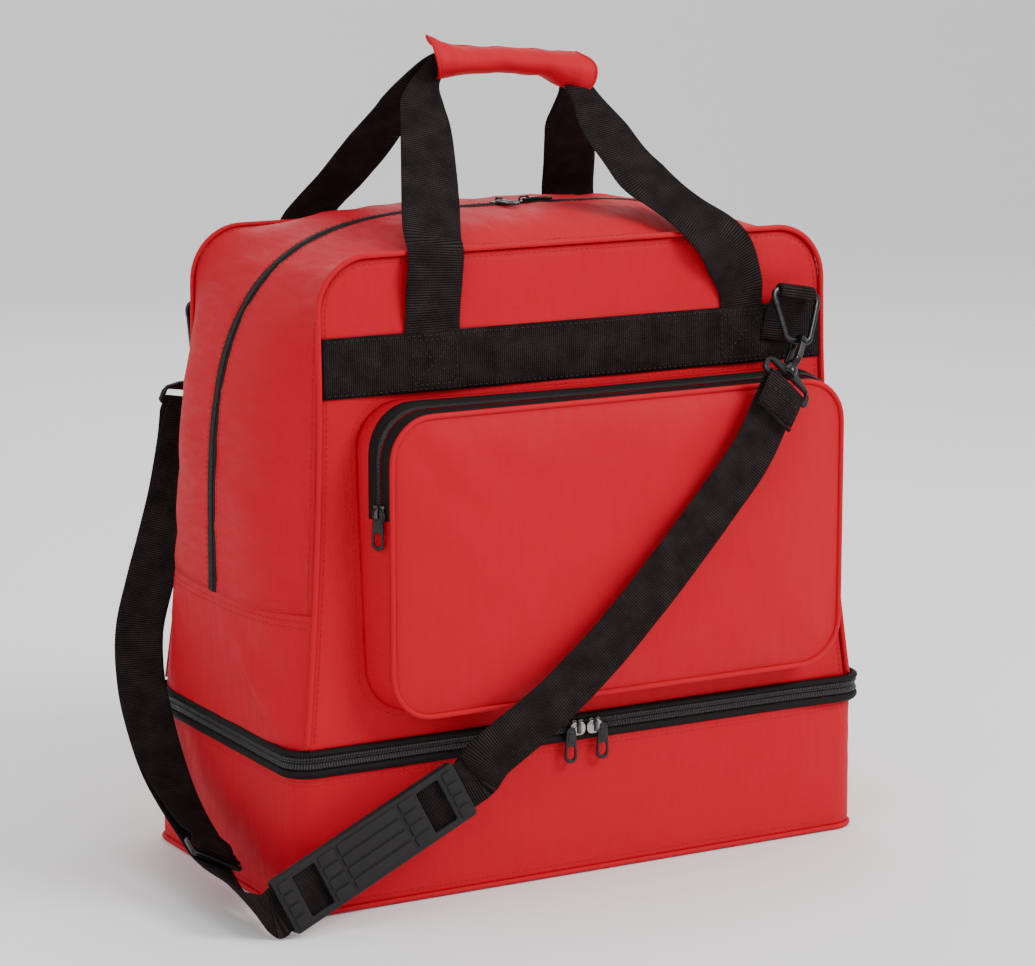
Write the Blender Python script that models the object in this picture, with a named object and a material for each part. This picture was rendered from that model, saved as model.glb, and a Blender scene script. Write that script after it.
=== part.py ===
"""Sports holdall with a rigid boot box under a tall main compartment.

A zip runs round the front and both sides of the bag at the top of the boot box, a second
zip runs over the arch of the main compartment, and a third one closes the puffed front
pocket. Two webbing handles are joined by a fabric wrap, and a shoulder strap clips to a
ring at the front right and to another at the back left.

Metres, +Z up, X to the right and Y from the front to the back. The origin is the centre
of the underside.
"""

import math

import bmesh
import bpy
from mathutils import Matrix, Vector

# Boot box
BASE_WIDTH = 0.504
BASE_DEPTH = 0.255
BASE_CORNER = 0.020
BOOT_TOP = 0.1165
HINGE_Z = 0.118
WALL = 0.003
WALL_FOOT = 0.0052
PIPING_RADIUS = 0.0022
TAPE_HEIGHT = 0.008
TAPE_SKIN = 0.0016
TAPE_PROUD = 0.0016

# Main compartment
UPPER_FOOT = 0.1198
ARCH_FOOT = 0.2255
ARCH_HEIGHT = 0.2620
ARCH_CORNER = 0.040
PANEL_HALF_WIDTH = 0.2195
MIDDLE_HALF_WIDTH = 0.257
MIDDLE_HEIGHT = 0.281
MIDDLE_POWER = 3.75
GUSSET_POWER = 4
SKIN = 0.0025
SEAM = 0.0006
EDGE_INSET = 0.0036
FRONT_BULGE = 0.004
FOLD_Y = -0.1265
FOLD_Z = 0.125

# Webbing
BAND_LOW = 0.385
BAND_HIGH = 0.430
BAND_SKIN = 0.0018
WEBBING = 0.002
STRAP_WIDTH = 0.038
STRAP_SKIN = 0.0016
LEG_WIDTH = 0.047
GRIP_STRIP_WIDTH = 0.014
HANDLE_LEGS = (-0.1245, 0.1160)
FRONT_FEET = (-0.1265, 0.1420)
BACK_FEET = (-0.1310, 0.1280)
HANDLE_PIVOT_Y = 0.1141
HANDLE_PIVOT_Z = 0.4925
GRIP_Z = 0.6125
GRIP_ENDS = (-0.071, 0.067)

# Front pocket
POCKET_LEFT = -0.188
POCKET_RIGHT = 0.212
POCKET_LOW = 0.148
POCKET_HIGH = 0.376
POCKET_CORNER = 0.034
POCKET_WALL = 0.002
POCKET_MIDDLE_Y = -0.130
POCKET_RIM_Y = -0.1482
POCKET_FACE_Y = -0.150
POCKET_PUFF = 0.013
POCKET_ZIP_FOOT_LEFT = 0.292
POCKET_ZIP_FOOT_RIGHT = 0.330
POCKET_FOLD_Y = -0.160
POCKET_FOLD_START = (-0.188, 0.292)
POCKET_FOLD_END = (0.105, 0.376)

# Hardware
RING_WIRE = 0.002
RING_HALF_WIDTH = 0.0205
RING_HEIGHT = 0.040
LOOP_HALF_WIDTH = 0.0235
LOOP_BAR = 0.01525
BAR_TURN = 0.0037
HOOK_LENGTH = 0.0320
HOOK_TURN = math.radians(8)
PAD_LENGTH = 0.167
PAD_SHIFT = -0.0045
PAD_WIDTH = 0.045
PAD_DEPTH = 0.0085

FABRIC_RED = (0.62, 0.020, 0.030, 1)
WEBBING_BLACK = (0.020, 0.017, 0.018, 1)
RUBBER_GREY = (0.030, 0.028, 0.030, 1)
NICKEL = (0.50, 0.50, 0.52, 1)
BOARD_GREY = (0.10, 0.10, 0.11, 1)


# ---------------------------------------------------------------- materials and solids


def material(name, color, roughness, metallic=0.0):
    made = bpy.data.materials.new(name)
    made.use_nodes = True
    shader = made.node_tree.nodes["Principled BSDF"]
    shader.inputs["Base Color"].default_value = color
    shader.inputs["Roughness"].default_value = roughness
    shader.inputs["Metallic"].default_value = metallic
    return made


def make_materials():
    return {
        "fabric": material("red_fabric", FABRIC_RED, 0.75),
        "webbing": material("black_webbing", WEBBING_BLACK, 0.85),
        "zip_tape": material("zip_tape", WEBBING_BLACK, 0.80),
        "plastic": material("black_plastic", WEBBING_BLACK, 0.35),
        "metal": material("slider_metal", NICKEL, 0.30, 1.0),
        "rubber": material("pad_rubber", RUBBER_GREY, 0.60),
        "board": material("stiffener", BOARD_GREY, 0.80),
    }


def add_object(name, data, finish):
    made = bpy.data.objects.new(name, data)
    bpy.context.scene.collection.objects.link(made)
    made.data.materials.append(finish)
    return made


def add_mesh(name, bm, finish):
    bmesh.ops.recalc_face_normals(bm, faces=bm.faces)
    mesh = bpy.data.meshes.new(name)
    bm.to_mesh(mesh)
    bm.free()
    made = add_object(name, mesh, finish)
    mesh.shade_smooth()
    mesh.set_sharp_from_angle(angle=math.radians(40))
    return made


def loft(name, rings, finish, closed=False):
    """A solid through rings of equal count, capped at both ends unless it closes on itself."""
    bm = bmesh.new()
    loops = [[bm.verts.new(point) for point in ring] for ring in rings]
    pairs = list(zip(loops, loops[1:]))
    if closed:
        pairs.append((loops[-1], loops[0]))
    count = len(rings[0])
    for first, second in pairs:
        for i in range(count):
            j = (i + 1) % count
            bm.faces.new((first[i], first[j], second[j], second[i]))
    if not closed:
        bm.faces.new(loops[0])
        bm.faces.new(loops[-1])
    return add_mesh(name, bm, finish)


def sheet(name, grid, thickness, inside, finish):
    """A sheet through a grid of points, thickened towards the point inside."""
    bm = bmesh.new()
    rows = [[bm.verts.new(point) for point in row] for row in grid]
    for low, high in zip(rows, rows[1:]):
        for i in range(len(low) - 1):
            bm.faces.new((low[i], low[i + 1], high[i + 1], high[i]))
    bm.normal_update()
    middle = bm.faces[:][len(bm.faces) // 2]
    if middle.normal.dot(Vector(inside) - middle.calc_center_median()) > 0:
        bmesh.ops.reverse_faces(bm, faces=bm.faces)
    mesh = bpy.data.meshes.new(name)
    bm.to_mesh(mesh)
    bm.free()
    made = add_object(name, mesh, finish)
    thicken = made.modifiers.new("thickness", "SOLIDIFY")
    thicken.thickness = thickness
    thicken.offset = -1
    mesh.shade_smooth()
    return made


def tube(name, points, radius, finish, closed=False):
    """A round cord or wire along points."""
    curve = bpy.data.curves.new(name, "CURVE")
    curve.dimensions = "3D"
    curve.bevel_depth = radius
    curve.bevel_resolution = 2
    curve.use_fill_caps = True
    spline = curve.splines.new("POLY")
    spline.points.add(len(points) - 1)
    for target, point in zip(spline.points, points):
        target.co = (*point, 1)
    spline.use_cyclic_u = closed
    return add_object(name, curve, finish)


def plate(name, outlines, thickness, place, finish):
    """A flat plate cut to its first outline, with holes along the others, centred on the plane of place."""
    curve = bpy.data.curves.new(name, "CURVE")
    curve.dimensions = "2D"
    curve.fill_mode = "BOTH"
    curve.extrude = thickness / 2
    for outline in outlines:
        spline = curve.splines.new("POLY")
        spline.points.add(len(outline) - 1)
        for target, (x, y) in zip(spline.points, outline):
            target.co = (x, y, 0, 1)
        spline.use_cyclic_u = True
    made = add_object(name, curve, finish)
    made.matrix_world = place
    return made


def cut(target, cutter, operation="DIFFERENCE"):
    cutter.hide_render = True
    cutter.display_type = "WIRE"
    boolean = target.modifiers.new(operation.lower(), "BOOLEAN")
    boolean.operation = operation
    boolean.object = cutter


def block(name, size, place, finish):
    bm = bmesh.new()
    bmesh.ops.create_cube(bm, size=1)
    bmesh.ops.scale(bm, vec=size, verts=bm.verts)
    made = add_mesh(name, bm, finish)
    made.matrix_world = place
    return made


# ---------------------------------------------------------------- lines and frames


def smooth_line(points, steps):
    """A Catmull-Rom line through points, with steps pieces between neighbours."""
    line = [Vector(point) for point in points]
    ends = [2 * line[0] - line[1], *line, 2 * line[-1] - line[-2]]
    found = []
    for a, b, c, d in zip(ends, ends[1:], ends[2:], ends[3:]):
        for i in range(steps):
            t = i / steps
            found.append(
                0.5
                * (
                    2 * b
                    + (c - a) * t
                    + (2 * a - 5 * b + 4 * c - d) * t**2
                    + (3 * b - a - 3 * c + d) * t**3
                )
            )
    return [*found, line[-1]]


def tangents(line):
    found = []
    for i in range(len(line)):
        before = line[max(i - 1, 0)]
        after = line[min(i + 1, len(line) - 1)]
        found.append((after - before).normalized())
    return found


def ribbon(name, line, across, widths, thickness, finish):
    """Flat webbing along a line. across gives the direction of its width at each point."""
    rings = []
    for point, along, side, width in zip(line, tangents(line), across, widths):
        side = (side - along * side.dot(along)).normalized() * width / 2
        up = along.cross(side).normalized() * thickness / 2
        rings.append([point - side - up, point + side - up, point + side + up, point - side + up])
    return loft(name, rings, finish)


def frame_at(origin, z_axis, x_axis):
    """A placement whose Z is z_axis and whose X is as near to x_axis as it can be."""
    z = Vector(z_axis).normalized()
    x = Vector(x_axis)
    x = (x - z * x.dot(z)).normalized()
    y = z.cross(x)
    return Matrix.Translation(origin) @ Matrix((x, y, z)).transposed().to_4x4()


def rounded_rectangle(half_width, half_height, corner, steps=6, centre=(0, 0)):
    """Points round a rectangle with round corners, anticlockwise from its lower right corner."""
    found = []
    turns = ((1, -1, -90), (1, 1, 0), (-1, 1, 90), (-1, -1, 180))
    for side, end, start in turns:
        for i in range(steps + 1):
            angle = math.radians(start + 90 * i / steps)
            x = side * (half_width - corner) + corner * math.cos(angle)
            y = end * (half_height - corner) + corner * math.sin(angle)
            found.append((x + centre[0], y + centre[1]))
    return found


# ---------------------------------------------------------------- the bag's surfaces


def share(value, low, high):
    return min(max((value - low) / (high - low), 0.0), 1.0)


def piping_half_width(z):
    return 0.2185 + 0.0215 * share(z, 0.40, 0.12) ** 1.6


def piping_depth(z):
    return 0.108 + 0.018 * share(z, 0.49, 0.12) ** 1.5


def front_depth(x, z):
    """How far the front panel's outer face stands from the middle of the bag."""
    over = 1 - min(abs(x) / piping_half_width(z), 1) ** 2
    up = math.sin(math.pi * share(z, 0.12, 0.49))
    return piping_depth(z) + SEAM + FRONT_BULGE * over * up


def side_point(side, z, ratio):
    """The lower side of the main compartment. ratio runs from -1 at the front to 1 at the back."""
    power = 9 - 5 * share(z, 0.12, ARCH_FOOT)
    middle = 0.2520 + (MIDDLE_HALF_WIDTH - 0.2520) * share(z, 0.12, ARCH_FOOT)
    edge = piping_half_width(z)
    x = edge + (middle - edge) * (1 - abs(ratio) ** power)
    return Vector((side * x, ratio * piping_depth(z), z))


def panel_reach(angle, inset=0.0):
    """Where a ray from the arch's foot meets the front panel's outline, as (x, z)."""
    across, up = math.cos(angle), math.sin(angle)
    width = PANEL_HALF_WIDTH - inset
    height = ARCH_HEIGHT - inset
    corner = ARCH_CORNER - inset
    reach = min(width / max(abs(across), 1e-9), height / max(up, 1e-9))
    dx, dz = width - corner, height - corner
    if reach * abs(across) > dx and reach * up > dz:
        toward = abs(across) * dx + up * dz
        reach = toward + math.sqrt(toward**2 - dx**2 - dz**2 + corner**2)
    z = ARCH_FOOT + reach * up
    x = reach * across * (piping_half_width(z) - inset) / width
    return x, z


def arch_point(angle, ratio):
    """The arch of the main compartment, from 0 at the right foot to pi at the left one."""
    x, z = panel_reach(angle)
    across, up = math.cos(angle), math.sin(angle)
    reach = (
        abs(across / MIDDLE_HALF_WIDTH) ** MIDDLE_POWER + abs(up / MIDDLE_HEIGHT) ** MIDDLE_POWER
    ) ** (-1 / MIDDLE_POWER)
    fullness = 1 - abs(ratio) ** GUSSET_POWER
    x += (reach * across - x) * fullness
    depth = piping_depth(z)
    z += (ARCH_FOOT + reach * up - z) * fullness
    return Vector((x, ratio * depth, z))


def arch_angles(flat, corner, crown):
    """Angles over the arch, close together where the outline turns its corners."""
    low = math.atan2(ARCH_HEIGHT - ARCH_CORNER, PANEL_HALF_WIDTH)
    high = math.atan2(ARCH_HEIGHT, PANEL_HALF_WIDTH - ARCH_CORNER)
    stops = ((0.0, low, flat), (low, high, corner), (high, math.pi / 2, crown))
    right = [a + (b - a) * i / steps for a, b, steps in stops for i in range(steps)]
    return [*right, math.pi / 2, *[math.pi - angle for angle in reversed(right)]]


# ---------------------------------------------------------------- boot box


def base_outline(inset=0.0, steps=6):
    return rounded_rectangle(
        BASE_WIDTH / 2 - inset, BASE_DEPTH / 2 - inset, BASE_CORNER - inset, steps
    )


def base_slab(name, inset, low, high, finish):
    place = Matrix.Translation((0, 0, (low + high) / 2))
    return plate(name, [base_outline(inset)], high - low, place, finish)


def boot_walls(finish):
    half_width, half_depth = BASE_WIDTH / 2, BASE_DEPTH / 2
    for name, end in (("boot_front_panel", -1), ("boot_back_panel", 1)):
        reach = half_width - BASE_CORNER - SEAM * 1.5
        columns = [-reach + 2 * reach * i / 8 for i in range(9)]
        grid = [[(x, end * half_depth, z) for x in columns] for z in (WALL_FOOT, BOOT_TOP)]
        sheet(name, grid, WALL, (0, 0, 0.06), finish)
    outline = base_outline()
    quarter = len(outline) // 4
    right = outline[: 2 * quarter]
    for name, side in (("boot_side_panel_left", -1), ("boot_side_panel_right", 1)):
        grid = [[(side * x, y, z) for x, y in right] for z in (WALL_FOOT, BOOT_TOP)]
        sheet(name, grid, WALL, (0, 0, 0.06), finish)


def zip_track():
    """The line of the boot zip: from the back left corner round the front to the back right one."""
    outline = base_outline(-TAPE_PROUD)
    quarter = len(outline) // 4
    right = [(x, y) for x, y in outline[: 2 * quarter]]
    left = [(-x, y) for x, y in reversed(right)]
    return [*left, *right]


def boot_zip_tape(name, low, finish):
    rings = []
    track = [Vector((x, y, 0)) for x, y in zip_track()]
    for point, along in zip(track, tangents(track)):
        out = Vector((along.y, -along.x, 0)) * TAPE_SKIN / 2
        foot = Vector((0, 0, low))
        top = Vector((0, 0, low + TAPE_HEIGHT))
        rings.append([point - out + foot, point + out + foot, point + out + top, point - out + top])
    return loft(name, rings, finish)


def boot_box(finish):
    base_slab("base_panel", 0.0032, 0.0, 0.002, finish["fabric"])
    base_slab("base_board", 0.0045, 0.0025, 0.0055, finish["board"])
    outline = [(x, y, PIPING_RADIUS + 0.0002) for x, y in base_outline(0.0)]
    tube("base_piping", outline, PIPING_RADIUS, finish["fabric"], closed=True)
    boot_walls(finish["fabric"])
    boot_zip_tape("boot_zip_tape_lower", 0.1090, finish["zip_tape"])


# ---------------------------------------------------------------- main compartment


def panel_grid(end):
    """The front or back panel's outer face, between its foot and its rounded top."""
    columns = 16
    rows = 12
    grid = []
    for j in range(rows + 1):
        row = []
        for i in range(columns + 1):
            share_x = math.sin(math.pi / 2 * (2 * i / columns - 1))
            over = abs(share_x) * (PANEL_HALF_WIDTH - EDGE_INSET)
            corner = ARCH_CORNER - EDGE_INSET
            past = max(over - (PANEL_HALF_WIDTH - ARCH_CORNER), 0.0)
            top = ARCH_FOOT + ARCH_HEIGHT - ARCH_CORNER + math.sqrt(max(corner**2 - past**2, 0.0))
            z = UPPER_FOOT + (top - UPPER_FOOT) * j / rows
            x = share_x * (piping_half_width(z) - EDGE_INSET)
            row.append((x, end * front_depth(x, z), z))
        grid.append(row)
    return grid


def gusset(name, end, finish):
    """Half of the arch, from the panel's piping to the edge of the main zip."""
    ratios = [1 - 0.006, 0.93, 0.82, 0.62, 0.34, 0.036]
    grid = [[arch_point(a, end * ratio) for a in arch_angles(7, 8, 5)] for ratio in ratios]
    return sheet(name, grid, SKIN, (0, 0, ARCH_FOOT), finish)


def zip_half(name, end, finish):
    ratios = (0.0035, 0.031)
    grid = [[arch_point(a, end * ratio) for a in arch_angles(7, 8, 5)] for ratio in ratios]
    return sheet(name, grid, SKIN, (0, 0, ARCH_FOOT), finish)


def side_panel(name, side, finish):
    """The lower side, between the boot zip and the feet of the arch."""
    ratios = [-0.994, -0.97, -0.93, -0.85, -0.65, -0.35, 0, 0.35, 0.65, 0.85, 0.93, 0.97, 0.994]
    top = ARCH_FOOT - SEAM
    heights = [UPPER_FOOT + (top - UPPER_FOOT) * i / 4 for i in range(5)]
    grid = [[side_point(side, z, ratio) for ratio in ratios] for z in heights]
    return sheet(name, grid, SKIN, (0, 0, 0.17), finish)


def panel_piping(name, end, finish):
    """Piping up one edge of the panel, over its top and down the other edge."""
    edge = 0.001
    out = 0.0018
    heights = [UPPER_FOOT + 0.0112 + 0.018 * i for i in range(6)]
    up = [(piping_half_width(z) + edge, end * (piping_depth(z) + out), z) for z in heights[:5]]
    over = []
    for angle in arch_angles(7, 8, 3):
        x, z = panel_reach(angle, -edge)
        over.append((x, end * (piping_depth(z) + out), z))
    down = [(-x, y, z) for x, y, z in reversed(up)]
    return tube(name, [*up, *over, *down], PIPING_RADIUS, finish)


def band(name, end, finish):
    """Webbing sewn across the panel from piping to piping."""
    grid = []
    for z in (BAND_LOW, (BAND_LOW + BAND_HIGH) / 2, BAND_HIGH):
        reach = piping_half_width(z) - EDGE_INSET
        columns = [reach * (i / 8 - 1) for i in range(17)]
        lift = 0.0004 + BAND_SKIN
        grid.append([(x, end * (front_depth(x, z) + lift), z) for x in columns])
    return sheet(name, grid, BAND_SKIN, (0, 0, 0.40), finish)


def handle_end(name, end, x_foot, x_top, finish):
    """The sewn end of a handle, from the band's upper edge to the panel's top edge."""
    foot = BAND_HIGH + 0.0006
    top = HANDLE_PIVOT_Z - 0.0012
    grid = []
    for i in range(7):
        z = foot + (top - foot) * i / 6
        lift = 0.0030 + 0.0035 * share(i, 0, 5)
        drift = share(i, 0, 6)
        x_centre = x_foot + (x_top - x_foot) * drift**2 * (3 - 2 * drift)
        columns = [x_centre + LEG_WIDTH * (j / 4 - 0.5) for j in range(5)]
        depth = max(front_depth(x, z) for x in columns) + lift
        grid.append([(x, end * depth, z) for x in columns])
    return sheet(name, grid, WEBBING, (x_top, 0, 0.44), finish)


def handle(name, end, finish):
    """The free loop of one handle: two wide legs that fold to a narrow strip in the grip."""
    lean = Vector((0, -end * HANDLE_PIVOT_Y, GRIP_Z - HANDLE_PIVOT_Z))
    length = lean.length
    lean.normalize()
    foot = Vector((0, end * HANDLE_PIVOT_Y, HANDLE_PIVOT_Z))
    left, right = HANDLE_LEGS
    strip = length - 0.0102
    route = [
        (left, 0.0036, LEG_WIDTH),
        (left + 0.0005, 0.0120, LEG_WIDTH),
        (left + 0.0125, 0.040, 0.0450),
        (left + 0.0270, 0.084, 0.0400),
        (left + 0.0380, 0.129, 0.0240),
        (-0.0750, strip - 0.002, GRIP_STRIP_WIDTH),
        (-0.0450, strip, GRIP_STRIP_WIDTH),
        (0.0400, strip, GRIP_STRIP_WIDTH),
        (0.0710, strip - 0.002, GRIP_STRIP_WIDTH),
        (right - 0.0370, 0.129, 0.0240),
        (right - 0.0430, 0.084, 0.0400),
        (right - 0.0230, 0.044, 0.0430),
        (right - 0.0035, 0.0170, LEG_WIDTH),
        (right - 0.0002, 0.0080, LEG_WIDTH),
        (right, 0.0042, LEG_WIDTH),
    ]
    smooth = smooth_line([(x, reach, width) for x, reach, width in route], 4)
    line = [foot + Vector((x, 0, 0)) + lean * reach for x, reach, _ in smooth]
    widths = [width for _, _, width in smooth]
    normal = Vector((1, 0, 0)).cross(lean)
    across = [normal.cross(along) for along in tangents(line)]
    return ribbon(name, line, across, widths, WEBBING, finish)


def grip(finish):
    """The wrap round both handles: a shell open along the back, and the flap that closes it."""
    left, right = GRIP_ENDS
    middle_z = GRIP_Z - 0.006
    outer = rounded_rectangle(0.0235, 0.0135, 0.007, 5)
    inner = rounded_rectangle(0.0219, 0.0119, 0.0054, 5)
    start, stop = 1, 20
    path = [*outer[start + 6 :], *outer[: start]]
    back = [*inner[start + 6 :], *inner[: start]]
    section = [*path[:stop], *reversed(back[:stop])]
    rings = []
    for x in (left, (left + right) / 2, right):
        rings.append([(x, y, z + middle_z) for y, z in section])
    loft("grip_wrap", rings, finish)
    hinge = grip_hinge()
    thickness = 0.0012
    grid = []
    for drop in (0.0003, 0.009, 0.018):
        y, z = hinge[1] + 0.0004 + thickness, hinge[2] - drop
        grid.append([(x, y, z) for x in (left + 0.004, 0, right - 0.004)])
    sheet("grip_flap", grid, thickness, (0, 0, middle_z), finish)


def grip_hinge():
    """The line along the wrap's upper back edge on which its flap opens."""
    return (0, 0.0235, GRIP_Z + 0.0045)


def main_compartment(finish):
    fabric = finish["fabric"]
    plate(
        "divider_board",
        [base_outline(0.0080)],
        0.003,
        Matrix.Translation((0, 0, UPPER_FOOT + 0.0015)),
        finish["board"],
    )
    boot_zip_tape("boot_zip_tape_upper", 0.1190, finish["zip_tape"])
    for side, name in ((-1, "side_panel_left"), (1, "side_panel_right")):
        side_panel(name, side, fabric)
    for end, word in ((-1, "front"), (1, "back")):
        sheet(word + "_panel", panel_grid(end), SKIN, (0, 0, 0.3), fabric)
        gusset("gusset_" + word, end, fabric)
        zip_half("main_zip_tape_" + word, end, finish["zip_tape"])
        panel_piping(word + "_piping", end, fabric)
        band(word + "_band", end, finish["webbing"])
        feet = FRONT_FEET if end < 0 else BACK_FEET
        for x_foot, x_top, side in zip(feet, HANDLE_LEGS, ("left", "right")):
            handle_end(f"{word}_handle_end_{side}", end, x_foot, x_top, finish["webbing"])
        handle(word + "_handle", end, finish["webbing"])
    grip(fabric)


# ---------------------------------------------------------------- front pocket


def pocket_outline(inset=0.0, steps=6):
    centre = ((POCKET_LEFT + POCKET_RIGHT) / 2, (POCKET_LOW + POCKET_HIGH) / 2)
    half_width = (POCKET_RIGHT - POCKET_LEFT) / 2 - inset
    half_height = (POCKET_HIGH - POCKET_LOW) / 2 - inset
    return rounded_rectangle(half_width, half_height, POCKET_CORNER - inset, steps, centre)


def wall_ring(pair, back_y, front_y):
    """One section of the pocket's wall, between its outer and its inner point."""
    (outer_x, outer_z), (inner_x, inner_z) = pair
    return [
        (outer_x, back_y(outer_x, outer_z), outer_z),
        (outer_x, front_y, outer_z),
        (inner_x, front_y, inner_z),
        (inner_x, back_y(inner_x, inner_z), inner_z),
    ]


def behind_pocket(x, z):
    return -front_depth(x, z) - SEAM


def behind_zip(x, z):
    return POCKET_MIDDLE_Y - SEAM


def subdivided(pairs, longest):
    """The closed run of (outer, inner) points with more of them along its straight edges."""
    found = []
    for first, second in zip(pairs, [*pairs[1:], pairs[0]]):
        step = [(b[0] - a[0], b[1] - a[1]) for a, b in zip(first, second)]
        pieces = max(math.ceil(math.hypot(*step[0]) / longest), 1)
        for i in range(pieces):
            share_of = i / pieces
            found.append(
                tuple((x + dx * share_of, z + dz * share_of) for (x, z), (dx, dz) in zip(first, step))
            )
    return found


def pocket_pairs(foot_gap):
    """The pocket's outline as (outer, inner) points: those the zip runs along, then the rest."""
    pairs = subdivided(list(zip(pocket_outline(0.0, 8), pocket_outline(POCKET_WALL, 8))), 0.05)
    centre = (POCKET_LEFT + POCKET_RIGHT) / 2
    feet = {1: POCKET_ZIP_FOOT_RIGHT, -1: POCKET_ZIP_FOOT_LEFT}
    top = [p for p in pairs if p[0][1] > feet[sign(p[0][0] - centre)] + 0.001]
    low = [p for p in pairs if p[0][1] < feet[sign(p[0][0] - centre)] - 0.003]
    ends = ((POCKET_RIGHT, -1, POCKET_ZIP_FOOT_RIGHT), (POCKET_LEFT, 1, POCKET_ZIP_FOOT_LEFT))
    for x, inward, foot in ends:
        top.append(((x, foot - foot_gap), (x + inward * POCKET_WALL, foot - foot_gap)))
        low_z = foot - foot_gap - SEAM
        low.append(((x, low_z), (x + inward * POCKET_WALL, low_z)))
    zipped = sorted(top, key=lambda pair: along_outline(pair, centre, -1))
    plain = sorted(low, key=lambda pair: along_outline(pair, centre, 1))
    return zipped, plain


def along_outline(pair, centre, turn):
    """A key that sorts the outline's points from one side's end, over its middle, to the other's."""
    x, z = pair[0]
    side = sign(x - centre)
    return turn * side, z * side, turn * x


def sign(value):
    return math.copysign(1.0, value)


def pocket_face_grid(inset):
    """The puffed face: a rounded rectangle whose middle stands forward."""
    columns, rows = 16, 10
    centre_x = (POCKET_LEFT + POCKET_RIGHT) / 2
    half_width = (POCKET_RIGHT - POCKET_LEFT) / 2 - inset
    corner = POCKET_CORNER - inset
    grid = []
    for j in range(rows + 1):
        row = []
        for i in range(columns + 1):
            share_x = math.sin(math.pi / 2 * (2 * i / columns - 1))
            past = max(abs(share_x) * half_width - (half_width - corner), 0.0)
            trim = corner - math.sqrt(max(corner**2 - past**2, 0.0))
            low = POCKET_LOW + inset + trim
            high = POCKET_HIGH - inset - trim
            share_z = math.sin(math.pi / 2 * (2 * j / rows - 1))
            z = (low + high) / 2 + (high - low) / 2 * share_z
            puff = POCKET_PUFF * (1 - share_x**4) ** 0.8 * (1 - share_z**4) ** 0.8
            row.append((centre_x + share_x * half_width, POCKET_FACE_Y - puff, z))
        grid.append(row)
    return grid


def fold_side(name, gap, finish):
    """A large block above the pocket's fold line, a little clear of it."""
    start = Vector((POCKET_FOLD_START[0], 0, POCKET_FOLD_START[1]))
    stop = Vector((POCKET_FOLD_END[0], 0, POCKET_FOLD_END[1]))
    along = (stop - start).normalized()
    up = Vector((-along.z, 0, along.x))
    size = 0.7
    centre = (start + stop) / 2 + up * (size / 2 + gap) + Vector((0, POCKET_FACE_Y, 0))
    place = frame_at(centre, up, along)
    return block(name, (size, 0.2, size), place, finish)


def pocket(finish):
    fabric = finish["fabric"]
    zipped, plain = pocket_pairs(SEAM)
    wall = [wall_ring(pair, behind_pocket, POCKET_MIDDLE_Y) for pair in zipped]
    wall += [wall_ring(pair, behind_pocket, POCKET_RIM_Y) for pair in plain]
    loft("pocket_gusset", wall, fabric, closed=True)
    zipped, _ = pocket_pairs(0.0)
    tape = [wall_ring(pair, behind_zip, POCKET_RIM_Y) for pair in zipped]
    loft("pocket_zip_tape", tape, finish["zip_tape"])
    below = fold_side("fold_cutter_below", -0.0005, fabric)
    above = fold_side("fold_cutter_above", 0.0005, fabric)
    piping_y = POCKET_RIM_Y - SEAM - PIPING_RADIUS
    line = [(x, piping_y, z) for x, z in pocket_outline(0.0, 6)]
    for name, piping_name, cutter, operation in (
        ("pocket_face", "pocket_piping", below, "DIFFERENCE"),
        ("pocket_flap", "pocket_flap_piping", above, "INTERSECT"),
    ):
        face = sheet(name, pocket_face_grid(EDGE_INSET), SKIN, (0, 0, 0.26), fabric)
        cut(face, cutter, operation)
        piping = tube(piping_name, line, PIPING_RADIUS, fabric, closed=True)
        cut(as_mesh(piping), cutter, operation)


def as_mesh(obj):
    """The curve object as a mesh object of the same name, which a Boolean can cut."""
    graph = bpy.context.evaluated_depsgraph_get()
    mesh = bpy.data.meshes.new_from_object(obj.evaluated_get(graph))
    name = obj.name
    place = obj.matrix_world.copy()
    bpy.data.objects.remove(obj)
    made = bpy.data.objects.new(name, mesh)
    bpy.context.scene.collection.objects.link(made)
    made.matrix_world = place
    bm = bmesh.new()
    bm.from_mesh(mesh)
    bmesh.ops.remove_doubles(bm, verts=bm.verts, dist=1e-6)
    bmesh.ops.recalc_face_normals(bm, faces=bm.faces)
    bm.to_mesh(mesh)
    bm.free()
    return made


# ---------------------------------------------------------------- zip sliders


def slider(name, origin, hinge_axis, hang, normal, finish):
    """A slider with a bridge, and a puller whose bar turns under the bridge."""
    across = Vector(hinge_axis)
    place = frame_at(origin, across, hang)
    if place.to_3x3().col[1].dot(Vector(normal)) < 0:
        place = frame_at(origin, -across, hang)
    body = [(-0.005, 0.0006), (0.005, 0.0006), (0.005, 0.0026), (0.0034, 0.0030), (0.0034, 0.0064)]
    body += [(0.0026, 0.0072), (-0.0026, 0.0072), (-0.0034, 0.0064), (-0.0034, 0.0030), (-0.005, 0.0026)]
    window = [(-0.0022, 0.0026), (0.0022, 0.0026), (0.0022, 0.0060), (-0.0022, 0.0060)]
    plate(name, [body, window], 0.005, place, finish["metal"])
    bar = 0.0043
    thickness = 0.0016
    hinge = place @ Vector((0, bar, 0))
    lie = frame_at(hinge, normal, hang)
    outline = [(x + 0.0141, y) for x, y in rounded_rectangle(0.0149, 0.0046, 0.003, 4)]
    eye = [(x + 0.0037, y) for x, y in rounded_rectangle(0.0029, 0.0031, 0.001, 2)]
    slot = [(x + 0.0195, y) for x, y in rounded_rectangle(0.0060, 0.0018, 0.0017, 4)]
    puller_name = name.replace("slider", "puller")
    plate(puller_name, [outline, eye, slot], thickness, lie, finish["plastic"])


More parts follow.
